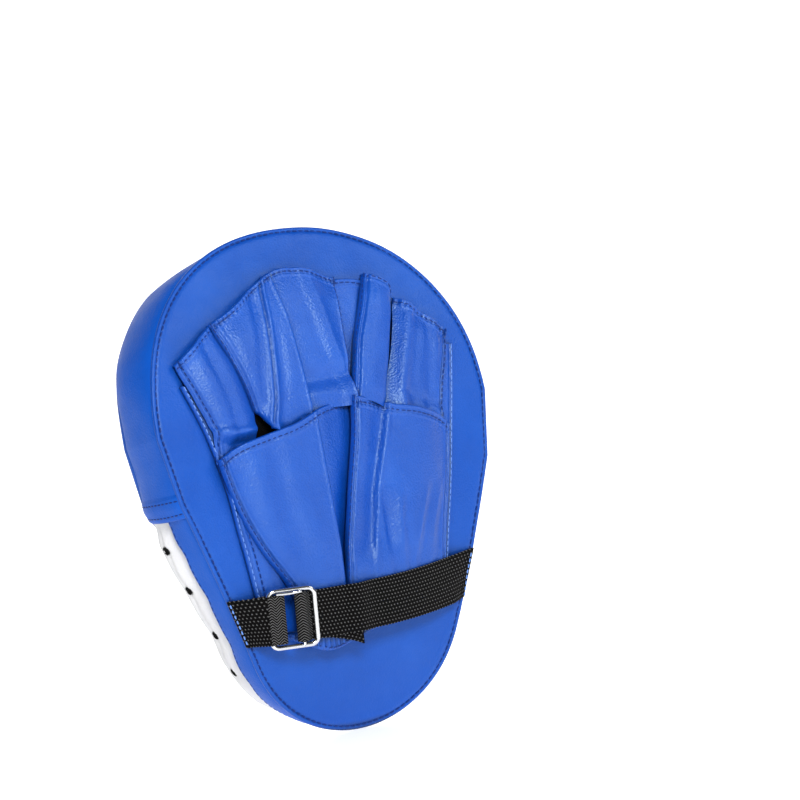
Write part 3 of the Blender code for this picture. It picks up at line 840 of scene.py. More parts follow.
def vented_strip():
    """The white strip: two soft rolls with a crease between them, which runs through the holes."""
    start = STRIP_JOIN_DEPTH + GAP
    end = PAD_DEPTH - 1.5
    depths = np.concatenate([np.linspace(start, start + 1.0, 3), np.linspace(start + 1.6, end - 1.0, 23),
                             [end - 0.5, end]])
    count = STRIP_COLUMNS
    middle = (start + end) / 2
    section = [(LOWER_INSET, depth) for depth in depths]
    grid = wall_grid(path_below, STRIP_TOP, count, section)
    reach = path_reach(grid[4])
    hole = np.zeros(grid.shape[:2])
    pinch = np.zeros(count)
    cups = []
    cup_faces = []
    for side, level in vent_places():
        centre = np.argmin(np.abs(grid[0, :, 1] - level) + 1000.0 * (grid[0, :, 0] * side < 0.0))
        gap = reach - reach[centre]
        radius = np.hypot(gap[None], depths[:, None] - middle)
        hole = np.maximum(hole, 1.0 - eased(radius, VENT_RADIUS * 0.9, VENT_RADIUS * 1.4))
        pinch = np.maximum(pinch, hill(gap, 7.0))
        cup_faces += vent_cup(cups, grid[0, centre], outward(grid[0])[centre],
                              middle + 0.5 * float(strip_edge(level)), 0.6 + float(strip_flare(level)))
    ratio = (depths - start) / (end - start)
    swollen = 2.9 * np.sin(math.pi * np.clip(ratio, 0.0, 1.0)) ** 0.6
    crease = hill(depths - middle, 1.1)
    bulge = swollen[:, None] * (1.1 - 0.25 * pinch[None]) - 0.9 * crease[:, None]
    from_end = from_ends(reach)
    calm = eased(from_end, 0.0, 8.0) * (1.0 - 0.6 * hill(grid[0, :, 0], 30.0))
    runs = np.tile(reach, (len(depths), 1))
    waves = ruffle(runs, np.tile(depths[:, None], (1, count)), 13.0, 7.0, 0.8, 9.0)
    share = INNER_FLARE + (1.0 - INNER_FLARE) * eased(ratio, 0.0, 0.5)
    share *= 1.0 - 0.9 * eased(ratio, 0.72, 1.0)
    push = (bulge + waves * np.sin(math.pi * ratio)[:, None]) * calm[None] - 5.0 * hole
    push += share[:, None] * strip_flare(grid[0, :, 1])[None]
    for row in range(len(depths)):
        grid[row, :, 2] -= (1.0 - ratio[row]) * strip_edge(grid[row, :, 1])
        grid[row, :, :2] += outward(grid[row]) * push[row][:, None]
    made = wall_piece("vented_strip", grid, runs, WHITE_SKIN)
    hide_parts("vented_side_strip")
    # Black cups behind the air holes: foam, painted darker as the shade inside the holes.
    piece("vent_cups", np.array(cups), cup_faces, VENT_FOAM_AND_SHADE)


def vent_cup(points, place, side, depth, out):
    """Add one black cup that closes an air hole: the black foam behind it, painted darker still as the
    shade inside the hole; returns its faces.
    """
    start = len(points)
    along = np.array([-side[1], side[0]])
    sides = 20
    for radius, sink in ((VENT_RADIUS * 1.4, -1.6), (VENT_RADIUS * 1.1, -0.4), (VENT_RADIUS * 0.5, 0.4)):
        for step in range(sides):
            turn = 2.0 * math.pi * step / sides
            spot = place[:2] + along * radius * math.cos(turn) + side * (out - sink)
            points.append(bend(spot[0], spot[1], -depth + radius * math.sin(turn)))
    faces = grid_faces(3, sides, start, round_columns=True)
    faces.append(tuple(start + 2 * sides + step for step in range(sides)))
    return faces


def face_binding():
    """Blue binding rolled over the striking edge, drawn tight beside the black face."""
    section = [(2.8, 3.6), (1.9, 2.8), (1.1, 2.0), (0.6, 0.9), (0.7, -0.3), (1.4, -1.1), (2.6, -1.4),
               (4.0, -1.3), (5.2, -0.9), (5.8, -0.6), (6.3, -0.75), (6.8, -0.5), (7.4, 0.3), (7.8, 1.2)]
    section = [(inset, lift - PAD_DEPTH) for inset, lift in section]
    loops = rings(section)
    for loop, (inset, _) in zip(loops, section):
        low = 1.0 - eased(loop[:, 1], STEP_LEVEL - 12.0, STEP_LEVEL + 4.0)
        middle = loop[:, :2] * (1.0, 0.0) + (0.0, PAD_LENGTH / 2)
        inwards = middle - loop[:, :2] - loop[:, :2] * (1.0, 0.0)
        inwards /= np.linalg.norm(inwards, axis=1)[:, None]
        slack = 1.4 * low - 2.6 * fullness(loop[:, 1])
        loop[:, :2] += inwards * (slack * hill(inset - 0.6, 3.0))[:, None]
        loop[:, 2] -= stitch_dents(loop, inset - 5.7, 1.6)
        loop[:, 2] -= ruffle(loop[:, 0], loop[:, 1], 12.0, 12.0, 0.3, 4.0)
    made = loop_piece("face_binding", loops, BLUE_SKIN)
    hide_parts("front_binding")
    return seam_loop(5.7, -PAD_DEPTH - 0.7)


def striking_cushion():
    """The black striking face: a foam slab in its skin, swollen by a cloth simulation."""
    front = -PAD_DEPTH + 0.6
    back = -PAD_DEPTH + 8.0
    section = [(7.6, back), (7.4, back - 2.0), (7.3, front + 2.4), (7.5, front + 0.9), (8.6, front)]
    loops = rings(section)
    inner = fill_rings(loops[-1], 14)
    under = [loop + (0.0, 0.0, back - front) for loop in fill_rings(loops[-1], 14)]
    grid = np.array(under[::-1] + loops + inner)
    faces = grid_faces(grid.shape[0], grid.shape[1], round_columns=True)
    made = piece("striking_cushion", bend_points(grid), faces, BLACK_SKIN)
    weld = made.modifiers.new("weld", "WELD")
    weld.merge_threshold = 0.0004
    swell(made, pressure=4.0, cap=2.6 * MM)
    made.data.materials.clear()
    made.data.materials.append(BLACK_SKIN)
    made.data.shade_smooth()
    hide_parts("strike_face")
    return made


def settle(made):
    """Apply every modifier on a piece."""
    graph = bpy.context.evaluated_depsgraph_get()
    mesh = bpy.data.meshes.new_from_object(made.evaluated_get(graph))
    made.modifiers.clear()
    made.data = mesh


def swell(made, pressure, cap):
    """Swell a closed piece with Cloth pressure, no point moving further than the cap."""
    remesh = made.modifiers.new("remesh", "REMESH")
    remesh.mode = "VOXEL"
    remesh.voxel_size = 4.0 * MM
    settle(made)
    count = len(made.data.vertices)
    before = np.zeros(count * 3)
    made.data.vertices.foreach_get("co", before)
    cloth = made.modifiers.new("swell", "CLOTH")
    cloth.settings.use_pressure = True
    cloth.settings.uniform_pressure_force = pressure
    cloth.settings.effector_weights.gravity = 0.0
    cloth.settings.quality = 5
    cloth.point_cache.frame_start = 1
    cloth.point_cache.frame_end = 20
    for moment in range(1, 21):
        bpy.context.scene.frame_set(moment)
    settle(made)
    after = np.zeros(count * 3)
    made.data.vertices.foreach_get("co", after)
    move = (after - before).reshape(-1, 3)
    length = np.linalg.norm(move, axis=1)
    scale = cap * np.tanh(length / cap) / np.maximum(length, 1e-9)
    made.data.vertices.foreach_set("co", (before.reshape(-1, 3) + move * scale[:, None]).ravel())
    bpy.context.scene.frame_set(1)
    finer = made.modifiers.new("finer", "SUBSURF")
    finer.levels = 1
    finer.render_levels = 1
    settle(made)


def face_depths(cushion):
    """A function that gives the cushion's depth under a spot of the flat pad."""
    graph = bpy.context.evaluated_depsgraph_get()
    tree = BVHTree.FromObject(cushion, graph)

    def depth_at(across, along):
        """The cushion's depth at a spot, or the pad's where the cushion isn't there."""
        start = Vector(bend(across, along, -PAD_DEPTH - 20.0))
        end = Vector(bend(across, along, -PAD_DEPTH + 20.0))
        hit = tree.ray_cast(start, (end - start).normalized())
        return PAD_DEPTH + 20.0 - hit[3] / MM if hit[0] else PAD_DEPTH

    return depth_at


def target_sheet(name, inner, outer, depth_at, replaced):
    """A white sheet on the face between two radii, its edges rolled down onto the leather."""
    steps = 96
    first = max(inner, DISC_OPENING)
    radii = np.concatenate([[first], first + (outer - first) * crowded(14)[1:-1], [outer]])
    rows = []
    for radius in radii:
        edge = min(outer - radius, radius - inner)
        lift = 0.12 + 0.38 * float(quarter_round(np.array(edge), 0.5))
        row = []
        for step in range(steps):
            turn = 2.0 * math.pi * step / steps
            across = radius * math.sin(turn)
            along = TARGET_LEVEL + radius * math.cos(turn)
            row.append((across, along, -depth_at(across, along) - lift))
        rows.append(row)
    grid = np.array(rows)
    faces = grid_faces(grid.shape[0], steps, round_columns=True, flip=True)
    made = piece(name, bend_points(grid), faces, TARGET_PRINT, uvs=grid[..., :2] * MM)
    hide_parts(replaced)
    add_rim(made, 0.5)


def pad_body():
    """Skins, walls, binding, striking face, target and their stitches."""
    seam = back_skin()
    sew("back_stitches", [on_pad(seam)], DARK_THREAD, width=0.8)
    wall_seams = upper_wall()
    sew("hem_stitches", wall_seams, DARK_THREAD, pitch=3.0, length=2.2, width=0.8)
    sew("strip_stitches", lower_blue_strip(), DARK_THREAD)
    vented_strip()
    line = face_binding()
    start = bend_points(line)
    out = (bend_points(line - (0.0, 0.0, 1.0)) - start) / MM
    sew("binding_stitches", [(start, out)], DARK_THREAD)
    cushion = striking_cushion()
    depth_at = face_depths(cushion)
    target_sheet("target_band", RING_INNER, RING_OUTER, depth_at, "target_ring")
    target_sheet("target_centre", 0.0, DISC_RADIUS, depth_at, "target_disc")
    for node, colour, dark in (("back_foam", (0.75, 0.70, 0.58), (0.5, 0.46, 0.38)),
                               ("core_foam", (0.18, 0.18, 0.19), (0.1, 0.1, 0.1)),
                               ("impact_foam", (0.03, 0.03, 0.03), (0.01, 0.01, 0.01))):
        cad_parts[node].data.materials.clear()
        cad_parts[node].data.materials.append(foam(node + "_cells", colour, dark))


# Glove ----------------------------------------------------------------------------------------

def soft_leather(panel, name, rise, replaced=None, goes_with=()):
    """Build one of the glove's panels in its soft blue leather."""
    return panel.make(name, rise, BLUE_SOFT, "blue_leather_soft", replaced, goes_with=goes_with)


def cover_half_width(along):
    """Half the width of the hand cover at a level."""
    ratio = (along - COVER_FOOT_LEVEL) / (COVER_HEAD_LEVEL - COVER_FOOT_LEVEL)
    return COVER_FOOT_HALF_WIDTH + (COVER_HEAD_HALF_WIDTH - COVER_FOOT_HALF_WIDTH) * ratio


def cover_rise(across, along):
    """Rise of the hand cover's outer surface: a low arch from one sewn edge to the other."""
    ratio = np.minimum(1.0, np.abs(across) / cover_half_width(along))
    return GLOVE_BASE + COVER_CROWN * (1.0 - ratio ** 2)


def piped(distance):
    """A turned edge: a rolled rim, a groove and a softer second line."""
    return (0.55 * hill(distance - 1.0, 0.8) - 0.45 * hill(distance - 2.3, 0.7)
            + 0.35 * hill(distance - 3.6, 1.0))


def hemmed(distance, width=3.6):
    """A hem that much wide: a rolled edge, a groove under its stitches and a step at its end."""
    return (0.55 * (1.0 - eased(distance, width + 0.2, width + 1.0)) + 0.3 * hill(distance - 0.9, 0.6)
            - 0.45 * hill(distance - width + 0.6, 0.5) - 0.9 * (1.0 - quarter_round(distance, 0.7)))


def edge_level(across):
    """Along, where the covers end at the wrist: the edge climbs to both sides."""
    return COVER_EDGE_LEVEL + COVER_EDGE_CLIMB * ((across - SLIT_FOOT) / COVER_FOOT_HALF_WIDTH) ** 2


def wrist_edge(left, right):
    """Points of the covers' wrist edge between two places."""
    return [(across, edge_level(across)) for across in np.linspace(left, right, 9)]


def rolled(distance, depth, radius):
    """How far a free edge curls down."""
    return -depth * (1.0 - quarter_round(distance, radius))


def puckers(distance, reach, amount=0.22):
    """Small dents that the stitches pull beside an edge."""
    return amount * hill(distance - 2.0, 1.8) * np.sin(reach * 2.0 * math.pi / 2.9)


def thumb():
    """The thumb's stall, turned under at its foot; returns its seams."""
    panel = Panel(left=((-67.8, 139.0), (-67.4, 150.0), (-73.0, 169.0), (-80.1, 188.7)),
                  right=((-44.2, 147.0), (-43.8, 163.0), (-47.5, 182.0), (-56.0, 206.0)),
                  bottom=((-67.8, 139.0), (-58.0, 143.5), (-44.2, 147.0)),
                  top=((-80.1, 188.7), (-73.0, 193.8), (-65.0, 199.8), (-56.0, 206.0)))
    rise = shape(panel.s, (0.0, 3.6), (0.08, 5.4), (0.3, 7.8), (0.55, 8.4), (0.8, 7.2), (1.0, 5.0))
    rise -= 1.4 * eased(panel.t, 0.62, 1.0)
    roll = panel.v - crease_at(-panel.u, (150.6, 44.0), (150.2, 58.0), (151.5, 68.0))
    rise = 2.4 + (rise - 2.4) * eased(roll, -3.2, 2.4)
    rise += 0.9 * hill(roll - 2.6, 1.7) - 0.5 * hill(roll - 6.0, 2.0)
    rise += 1.2 * piped(panel.from_left) + hemmed(panel.from_top) + puckers(panel.from_top, panel.from_left)
    crease = panel.beside((-58.0, 150.0), (-61.0, 172.0), (-68.0, 198.0))
    rise += 0.7 * hill(crease + 3.0, 4.0) - 0.9 * hill(crease - 4.0, 3.2)
    rise += panel.ruffle(9.0, 24.0, 0.5, 11.0)
    soft_leather(panel, "thumb_leather", rise, "thumb_stall")
    return [panel.line("top", 3.0), panel.line("left", 3.2)]


def index():
    """The index finger's stall, with a double fold along it; returns its seams."""
    panel = Panel(left=((-44.2, 161.5), (-46.5, 172.0), (-51.5, 188.0), (-57.6, 205.2)),
                  right=((-11.8, 150.0), (-12.4, 170.0), (-13.8, 200.0), (-16.6, 227.5)),
                  bottom=((-44.2, 161.5), (-41.3, 158.8), (-38.2, 153.2), (-33.0, 149.5), (-11.8, 150.0)),
                  top=((-57.6, 205.2), (-45.0, 211.0), (-31.0, 220.0), (-16.6, 227.5)), columns=90)
    rise = shape(panel.s, (0.0, 6.6), (0.07, 7.8), (0.42, 10.2), (0.7, 9.0), (0.92, 9.4), (1.0, 9.2))
    rise -= 2.0 * eased(panel.t, 0.7, 1.0)
    rise += piped(panel.from_left) + hemmed(panel.from_top) + puckers(panel.from_top, panel.from_left, 0.5)
    ridge = panel.beside((-36.5, 155.0), (-33.0, 165.0), (-28.0, 194.0), (-25.0, 221.0))
    rise += 1.0 * hill(ridge + 1.8, 1.1) + 1.0 * hill(ridge - 1.6, 1.0) - 1.2 * hill(ridge, 0.7)
    rise -= 0.9 * hill(ridge + 6.0, 2.8) + 0.9 * hill(ridge - 6.0, 2.8)
    rise += rolled(panel.from_right, 2.2, 1.5) + rolled(panel.from_left, 1.6, 1.2)
    rise += 0.5 * hill(panel.from_right - 2.0, 0.9)
    rise += rolled(panel.from_bottom, 2.0, 1.6) * (1.0 - eased(panel.s, 0.3, 0.5))
    rise -= 1.8 * eased(panel.s, 0.35, 0.55) * (1.0 - eased(panel.t, 0.0, 0.14))
    rise += panel.ruffle(7.0, 26.0, 0.6, 12.0)
    soft_leather(panel, "index_leather", rise, "index_stall")
    return [panel.line("top", 3.0), panel.line("left", 2.2)]


def middle():
    """The middle finger's stall and the gusset beside it; returns their seams."""
    panel = Panel(left=((-20.0, 156.5), (-20.0, 180.0), (-20.0, 205.0), (-21.0, 226.0)),
                  right=((14.5, 156.5), (14.5, 178.0), (16.5, 198.0), (19.5, 220.5)),
                  bottom=((-20.0, 156.5), (-5.0, 157.5), (14.5, 156.5)),
                  top=((-21.0, 226.0), (-12.0, 228.6), (-3.0, 228.2), (8.0, 225.0), (19.5, 220.5)))
    crest = crease_at(panel.v, (13.0, 168.0), (8.0, 190.0), (4.5, 220.0))
    before = np.clip((crest - panel.u) / 26.0, 0.0, 1.0)
    after = np.clip((panel.u - crest) / 13.0, 0.0, 1.0)
    rise = 9.0 - 4.6 * before ** 1.1 - 3.6 * after ** 0.8
    rise -= 0.9 * hill(panel.u - crest + 8.0, 3.0) + 1.3 * eased(panel.t, 0.78, 1.0)
    rise -= 2.8 * hill(panel.v - 173.0, 4.6) - 0.6 * hill(panel.v - 164.0 + 0.15 * panel.u, 3.0)
    rise += hemmed(panel.from_top) + puckers(panel.from_top, panel.from_left, 0.4)
    rise += rolled(panel.from_right, 1.2, 1.0) + 0.5 * hill(panel.from_right - 1.2, 0.6)
    rise += panel.ruffle(8.0, 24.0, 0.6, 13.0)
    soft_leather(panel, "middle_leather", rise, "middle_stall")
    seams = [panel.line("top", 3.0), panel.line("right", 1.8)]

    panel = Panel(left=((10.0, 159.0), (10.5, 178.0), (12.5, 198.0), (15.5, 219.8)),
                  right=((21.0, 161.0), (26.0, 178.0), (33.0, 198.0), (40.0, 216.0)),
                  bottom=((10.0, 159.0), (21.0, 161.0)),
                  top=((15.5, 219.8), (24.0, 219.8), (32.0, 218.2), (40.0, 216.0)), rows=60, columns=48)
    rise = shape(panel.s, (0.0, 3.4), (0.35, 4.6), (0.6, 5.2), (1.0, 3.6)) + hemmed(panel.from_top)
    rise -= 1.6 * (1.0 - eased(panel.v, 164.0, 184.0))
    rise += panel.ruffle(8.0, 24.0, 0.4, 14.0)
    soft_leather(panel, "middle_gusset", rise)
    return seams + [panel.line("top", 3.0)]


def ring():
    """The ring finger's stall; returns its seams."""
    panel = Panel(left=((11.2, 159.5), (15.2, 173.5), (19.7, 187.3), (27.5, 203.6), (35.3, 220.5)),
                  right=((30.5, 152.5), (33.5, 165.0), (37.1, 174.2), (42.5, 190.0), (48.8, 209.0)),
                  bottom=((11.2, 159.5), (20.0, 157.5), (30.5, 152.5)),
                  top=((35.3, 220.5), (42.0, 217.4), (47.2, 213.6), (48.8, 209.0)))
    rise = shape(panel.s, (0.0, 8.0), (0.1, 9.2), (0.35, 11.0), (0.6, 10.8), (0.85, 9.4), (1.0, 6.8))
    rise -= 1.6 * eased(panel.t, 0.78, 1.0) + 1.2 * (1.0 - eased(panel.t, 0.0, 0.14))
    rise += 1.3 * piped(panel.from_left) + rolled(panel.from_left, 2.4, 1.2)
    rise += hemmed(panel.from_top, 2.6) + rolled(panel.from_right, 3.0, 1.8)
    rise += panel.ruffle(9.0, 40.0, 0.35, 15.0)
    soft_leather(panel, "ring_leather", rise, "ring_stall")
    return [panel.line("top", 2.0), panel.line("left", 2.3)]


def little():
    """The little finger's stall, with two soft folds; returns its seams."""
    panel = Panel(left=((27.0, 153.5), (37.0, 171.0), (44.5, 189.0), (50.8, 207.3)),
                  right=((64.2, 144.0), (66.5, 156.0), (71.8, 171.0), (77.3, 187.1)),
                  bottom=((27.0, 153.5), (42.0, 151.0), (54.0, 147.5), (64.2, 144.0)),
                  top=((50.8, 207.3), (57.2, 203.3), (66.5, 195.8), (77.3, 187.1)), columns=80)
    rise = shape(panel.s, (0.0, 4.2), (0.12, 6.6), (0.3, 8.6), (0.55, 7.2), (0.8, 5.8), (1.0, 4.4))
    rise -= 1.4 * eased(panel.t, 0.75, 1.0)
    band = panel.beside((40.0, 160.0), (47.5, 180.0), (55.0, 199.0))
    rise += 1.2 * hill(band, 2.8) - 1.2 * hill(band - 6.5, 3.4)
    band = panel.beside((60.0, 150.0), (69.5, 188.0))
    rise += 1.0 * hill(band, 2.6) - 0.5 * hill(band + 5.0, 2.6)
    slope = panel.v - (162.0 - 0.42 * (panel.u - 36.0))
    rise -= 0.9 * hill(slope, 2.4) * eased(panel.u, 40.0, 52.0)
    rise += 1.3 * piped(panel.from_right) + rolled(panel.from_right, 1.6, 1.0)
    rise += hemmed(panel.from_top) + puckers(panel.from_top, panel.from_left, 0.4)
    rise += panel.ruffle(9.0, 24.0, 0.5, 16.0)
    soft_leather(panel, "little_leather", rise, "little_stall")
    return [panel.line("top", 3.0), panel.line("right", 3.0)]


def cover_left(hem):
    """The left cover: its outer edge folded over a recessed pleat, its inner edge a long fold."""
    panel = Panel(left=((-30.0, 52.6), (-41.0, 77.2), (-55.4, 101.2), (-61.3, 115.4), (-66.4, 134.1),
                        (-67.8, 141.0)),
                  right=((-10.2, 51.6), (-10.0, 76.0), (-11.3, 115.0), (-11.8, 157.3)),
                  bottom=wrist_edge(-30.0, -10.2),
                  top=((-67.8, 141.0), (-57.0, 145.9), (-40.0, 149.6), (-24.0, 152.8), (-11.8, 157.3)),
                  rows=100, columns=80)
    free = eased(panel.v, 82.0, 96.0)
    rise = np.minimum(cover_rise(panel.u, panel.v), 10.4) + 0.3
    rise -= (rise - 5.6) * (1.0 - eased(panel.from_left, 0.0, 10.0)) * 0.7 * free
    rise += 1.5 * piped(panel.from_left) + hemmed(panel.from_top, COVER_HEM)
    rise += puckers(panel.from_top - 2.0, panel.from_left, 0.3) + 0.5 * hill(panel.from_right - 2.0, 0.9)
    rise += rolled(panel.from_left, 2.2, 1.0) + rolled(panel.from_right, 2.2, 1.5)
    fold = panel.beside((-27.0, 70.0), (-36.0, 100.0), (-44.0, 145.0))
    rise += free * (0.8 * hill(fold + 8.0, 5.0) - 0.9 * hill(fold - 3.0, 5.0))
    rise += panel.ruffle(11.0, 38.0, 0.8, 17.0) * (0.3 + 0.7 * free)
    soft_leather(panel, "cover_left_leather", rise, "hand_cover_left", goes_with=[hem])
    seams = [panel.line("top", 3.8), panel.line("left", 3.3)]

    panel = Panel(left=((-54.0, 57.0), (-57.4, 78.5), (-61.7, 106.1), (-66.2, 135.5), (-69.9, 151.9),
                        (-78.4, 178.2)),
                  right=((-27.0, 52.6), (-38.0, 77.0), (-52.0, 100.0), (-60.0, 125.0), (-64.0, 150.0),
                         (-71.0, 178.6)),
                  bottom=((-54.0, 57.0), (-27.0, 52.6)), top=((-78.4, 178.2), (-71.0, 178.6)), rows=100,
                  columns=40)
    rise = shape(panel.s, (0.0, 1.9), (0.2, 2.8), (0.5, 3.2), (1.0, 3.6))
    rise -= 0.9 * eased(panel.v, 120.0, 145.0) * eased(panel.s, 0.0, 0.3)
    rise += piped(panel.from_left) + rolled(panel.from_left, 0.9, 0.8)
    rise += panel.ruffle(6.0, 20.0, 0.6, 18.0) * (1.0 - eased(panel.v, 120.0, 145.0))
    soft_leather(panel, "cover_pleat", rise)
    sewn = [panel.line("left", 2.3)]
    inner = panel.line("left", 2.3)
    inner = inner[inner[:, 1] < 116.0] + (3.4, 0.0, 0.5)
    seams.append(inner)

    panel = Panel(left=((-20.0, 51.8), (-20.0, 100.0), (-20.0, 154.8)),
                  right=((-6.0, 51.6), (-5.0, 78.0), (1.0, 110.0), (11.5, 150.0), (13.5, 159.6)),
                  bottom=((-20.0, 51.8), (-6.0, 51.6)),
                  top=((-20.0, 154.8), (-12.0, 157.0), (-3.0, 159.2), (13.5, 159.6)), columns=40)
    rise = 6.6 + 1.0 * eased(panel.v, 80.0, 150.0) + hemmed(panel.from_top, COVER_HEM)
    slope = (panel.u + 11.0) / (crease_at(panel.v, (-9.0, 78.0), (-3.3, 110.0), (7.0, 150.0)) + 12.5)
    rise -= 3.6 * eased(slope, 0.0, 1.0) * eased(panel.v, 78.0, 100.0)
    rise += puckers(panel.from_top - 2.0, panel.from_left, 0.3)
    rise += panel.ruffle(7.0, 30.0, 0.4, 19.0)
    soft_leather(panel, "cover_middle_leather", rise)
    return seams + [panel.line("top", 3.8)], sewn


def cover_right():
    """The right cover, and the sewn border that it shares with the little finger's stall."""
    panel = Panel(left=((-9.8, 51.5), (-9.2, 78.0), (-1.6, 113.0), (7.8, 148.0), (10.2, 161.6)),
                  right=((51.5, 61.5), (54.0, 81.0), (60.5, 110.0), (67.0, 141.0)),
                  bottom=wrist_edge(-9.8, 51.5),
                  top=((10.2, 161.6), (20.0, 159.2), (30.6, 155.4), (48.1, 150.9), (62.4, 145.0),
                       (67.0, 141.0)), rows=110, columns=100)
    free = eased(panel.v, 80.0, 94.0)
    arch = np.minimum(cover_rise(panel.u, panel.v), 10.8) + 0.2
    tilted = shape(panel.s, (0.0, 9.4), (0.3, 9.0), (0.62, 10.4), (0.84, 7.0), (1.0, 3.6))
    rise = arch + (tilted - arch) * free
    fold = panel.beside((7.0, 77.4), (15.3, 114.8), (29.8, 154.2))
    step = 1.0 - eased(fold, -1.6, 0.2)
    rise += (0.25 + 0.75 * free) * (0.7 * hill(fold - 1.0, 1.3) - 2.6 * eased(fold, -13.0, -2.0) * step)
    low = 1.0 - eased(panel.v, 98.0, 120.0)
    for line, depth in ((((15.0, 75.0), (15.5, 105.0), (17.0, 116.0)), 1.0),
                        (((24.6, 75.0), (25.0, 99.0), (27.0, 110.0)), 0.9),
                        (((31.0, 76.0), (38.0, 98.0), (47.6, 120.0)), 0.9),
                        (((42.0, 76.0), (47.0, 96.0), (56.0, 116.0)), 0.5)):
        crease = panel.beside(*line)
        rise += (0.3 + 0.7 * free) * low * depth * (hill(crease, 1.6) - 1.1 * hill(crease - 4.0, 2.2))
    rise += 1.4 * piped(panel.from_left) + rolled(panel.from_left, 2.4, 1.4)
    rise += 1.2 * piped(panel.from_right) + rolled(panel.from_right, 1.4, 1.0)
    rise += hemmed(panel.from_top, COVER_HEM) + puckers(panel.from_top - 2.0, panel.from_left, 0.3)
    rise += panel.ruffle(11.0, 34.0, 0.8, 20.0) * (0.25 + 0.75 * free)
    soft_leather(panel, "cover_right_leather", rise, "hand_cover_right")
    seams = [panel.line("top", 3.8), panel.line("left", 2.4)]

    panel = Panel(left=((42.0, 60.5), (45.0, 81.0), (51.5, 110.0), (57.5, 139.0), (68.5, 180.8)),
                  right=((54.5, 63.0), (57.1, 80.9), (64.0, 112.0), (70.0, 139.1), (80.3, 180.5)),
                  bottom=((42.0, 60.5), (54.5, 63.0)), top=((68.5, 180.8), (80.3, 180.5)), rows=90,
                  columns=28)
    rise = 2.2 + piped(panel.from_right) + rolled(panel.from_right, 1.0, 0.8)
    soft_leather(panel, "sewn_border", rise)
    return seams, [panel.line("right", 2.3)]


def gathered_hem():
    """The covers' wrist edge, drawn up in small gathers."""
    places = np.linspace(-COVER_FOOT_HALF_WIDTH, COVER_FOOT_HALF_WIDTH, 29)
    drops = 1.8 + 6.6 * hill(places + 22.0, 15.0)
    top = [(across, edge_level(across) - GAP) for across in places]
    bottom = [(across, edge_level(across) - drop) for across, drop in zip(places, drops)]
    panel = Panel(left=(bottom[0], top[0]), right=(bottom[-1], top[-1]), bottom=bottom, top=top, rows=16,
                  columns=420)
    rise = cover_rise(panel.u, edge_level(panel.u)) - 0.4
    drift = panel.ruffle(9.0, 40.0, 2.4, 21.0)
    rise += 0.55 * np.sin(2.0 * math.pi * (panel.u + drift) / 2.6) * eased(panel.t, 0.0, 0.2)
    rise += rolled(panel.from_bottom, 1.0, 1.4)
    made = panel.make("gathered_hem", rise, BLUE_SOFT, "blue_leather_deep", "cover_hem", held=None)
    return made, [panel.line("bottom", 2.2)]


def palm_cloth():
    """The black lining under the glove."""
    panel = Panel(left=((-46.0, 60.0), (-52.0, 94.0), (-60.0, 135.0), (-70.0, 176.0)),
                  right=((44.0, 60.0), (50.0, 94.0), (61.0, 138.0), (70.0, 176.0)),
                  bottom=((-46.0, 60.0), (0.0, 54.0), (44.0, 60.0)),
                  top=((-70.0, 176.0), (-50.0, 196.0), (-21.0, 215.0), (16.0, 212.0), (46.0, 198.0),
                       (70.0, 176.0)))
    rise = 1.1 + panel.ruffle(20.0, 20.0, 0.25, 22.0)
    panel.make("palm_cloth", rise, LINING_WEAVE, "black_cloth", "palm_lining", held="laid")


def glove():
    """Lining, covers, stalls and the glove's stitches."""
    palm_cloth()
    hem, dark = gathered_hem()
    left_dark, left_pale = cover_left(hem)
    right_dark, right_pale = cover_right()
    dark += left_dark + right_dark + thumb() + index() + middle() + ring() + little()
    # The border stitches take the pale thread: the dark blue thread painted lighter as a highlight.
    for name, seams, look in (("glove_stitches", dark, DARK_THREAD),
                              ("border_stitches", left_pale + right_pale, PALE_THREAD_AND_HIGHLIGHT)):
        lifted = [on_pad(line + (0.0, 0.0, 0.1)) for line in seams]
        sew(name, lifted, look, pitch=3.2, length=2.4, width=0.6, height=0.45)


# Strap and buckle -----------------------------------------------------------------------------

def strap_place(across, shift, rise):
    """World points on the strap: straight over its own width, square to the pad at its level."""
    angle = (STRAP_LEVEL - PAD_LENGTH / 2) / BEND_RADIUS
    up = np.array([0.0, math.sin(angle), math.cos(angle)])
    out = np.array([0.0, -math.cos(angle), math.sin(angle)])
    foot = bend(across, STRAP_LEVEL + 0.0 * np.asarray(across), 0.0)
    shift = np.asarray(shift)[..., None] * MM
    return foot + up * shift + out * (np.asarray(rise)[..., None] * MM)


def strap_bow(across):
    """How far the strap climbs towards the fingertips on its right side."""
    return STRAP_BOW * (np.maximum(0.0, across) / TIP_RADIUS) ** 2


def under_strap(across):
    """Rise of what the strap lies on: the covers, then a slope to the skin."""
    level = STRAP_LEVEL + strap_bow(across) + STRAP_WIDTH / 2
    foot = cover_half_width(level)
    slope = GLOVE_BASE * np.maximum(0.0, 1.0 - (np.abs(across) - foot) / 7.0)
    return np.where(np.abs(across) < foot, cover_rise(across, level), slope)


def main_rise(across):
    """Rise of the strap's middle: over its own tail first, then straight on what lies under."""
    over_tail = (WEBBING + GAP) * (1.0 - eased(across, TAIL_END + 1.0, TAIL_END + 9.0))
    folded_end = 0.9 * hill(across - TAIL_END + 4.6, 1.3) + 0.9 * hill(across - TAIL_END + 0.6, 1.6)
    return under_strap(across) + STRAP_LAYER + over_tail + folded_end


def bar_rise(across):
    """Rise of the buckle's middle plane, which leans with the strap under it."""
    left = under_strap(LEFT_BAR) + GAP + WEBBING + GAP + WIRE_RADIUS
    right = main_rise(RIGHT_BAR) + WEBBING / 2 + GAP + WIRE_RADIUS
    return left + (right - left) * (across - LEFT_BAR) / (RIGHT_BAR - LEFT_BAR)


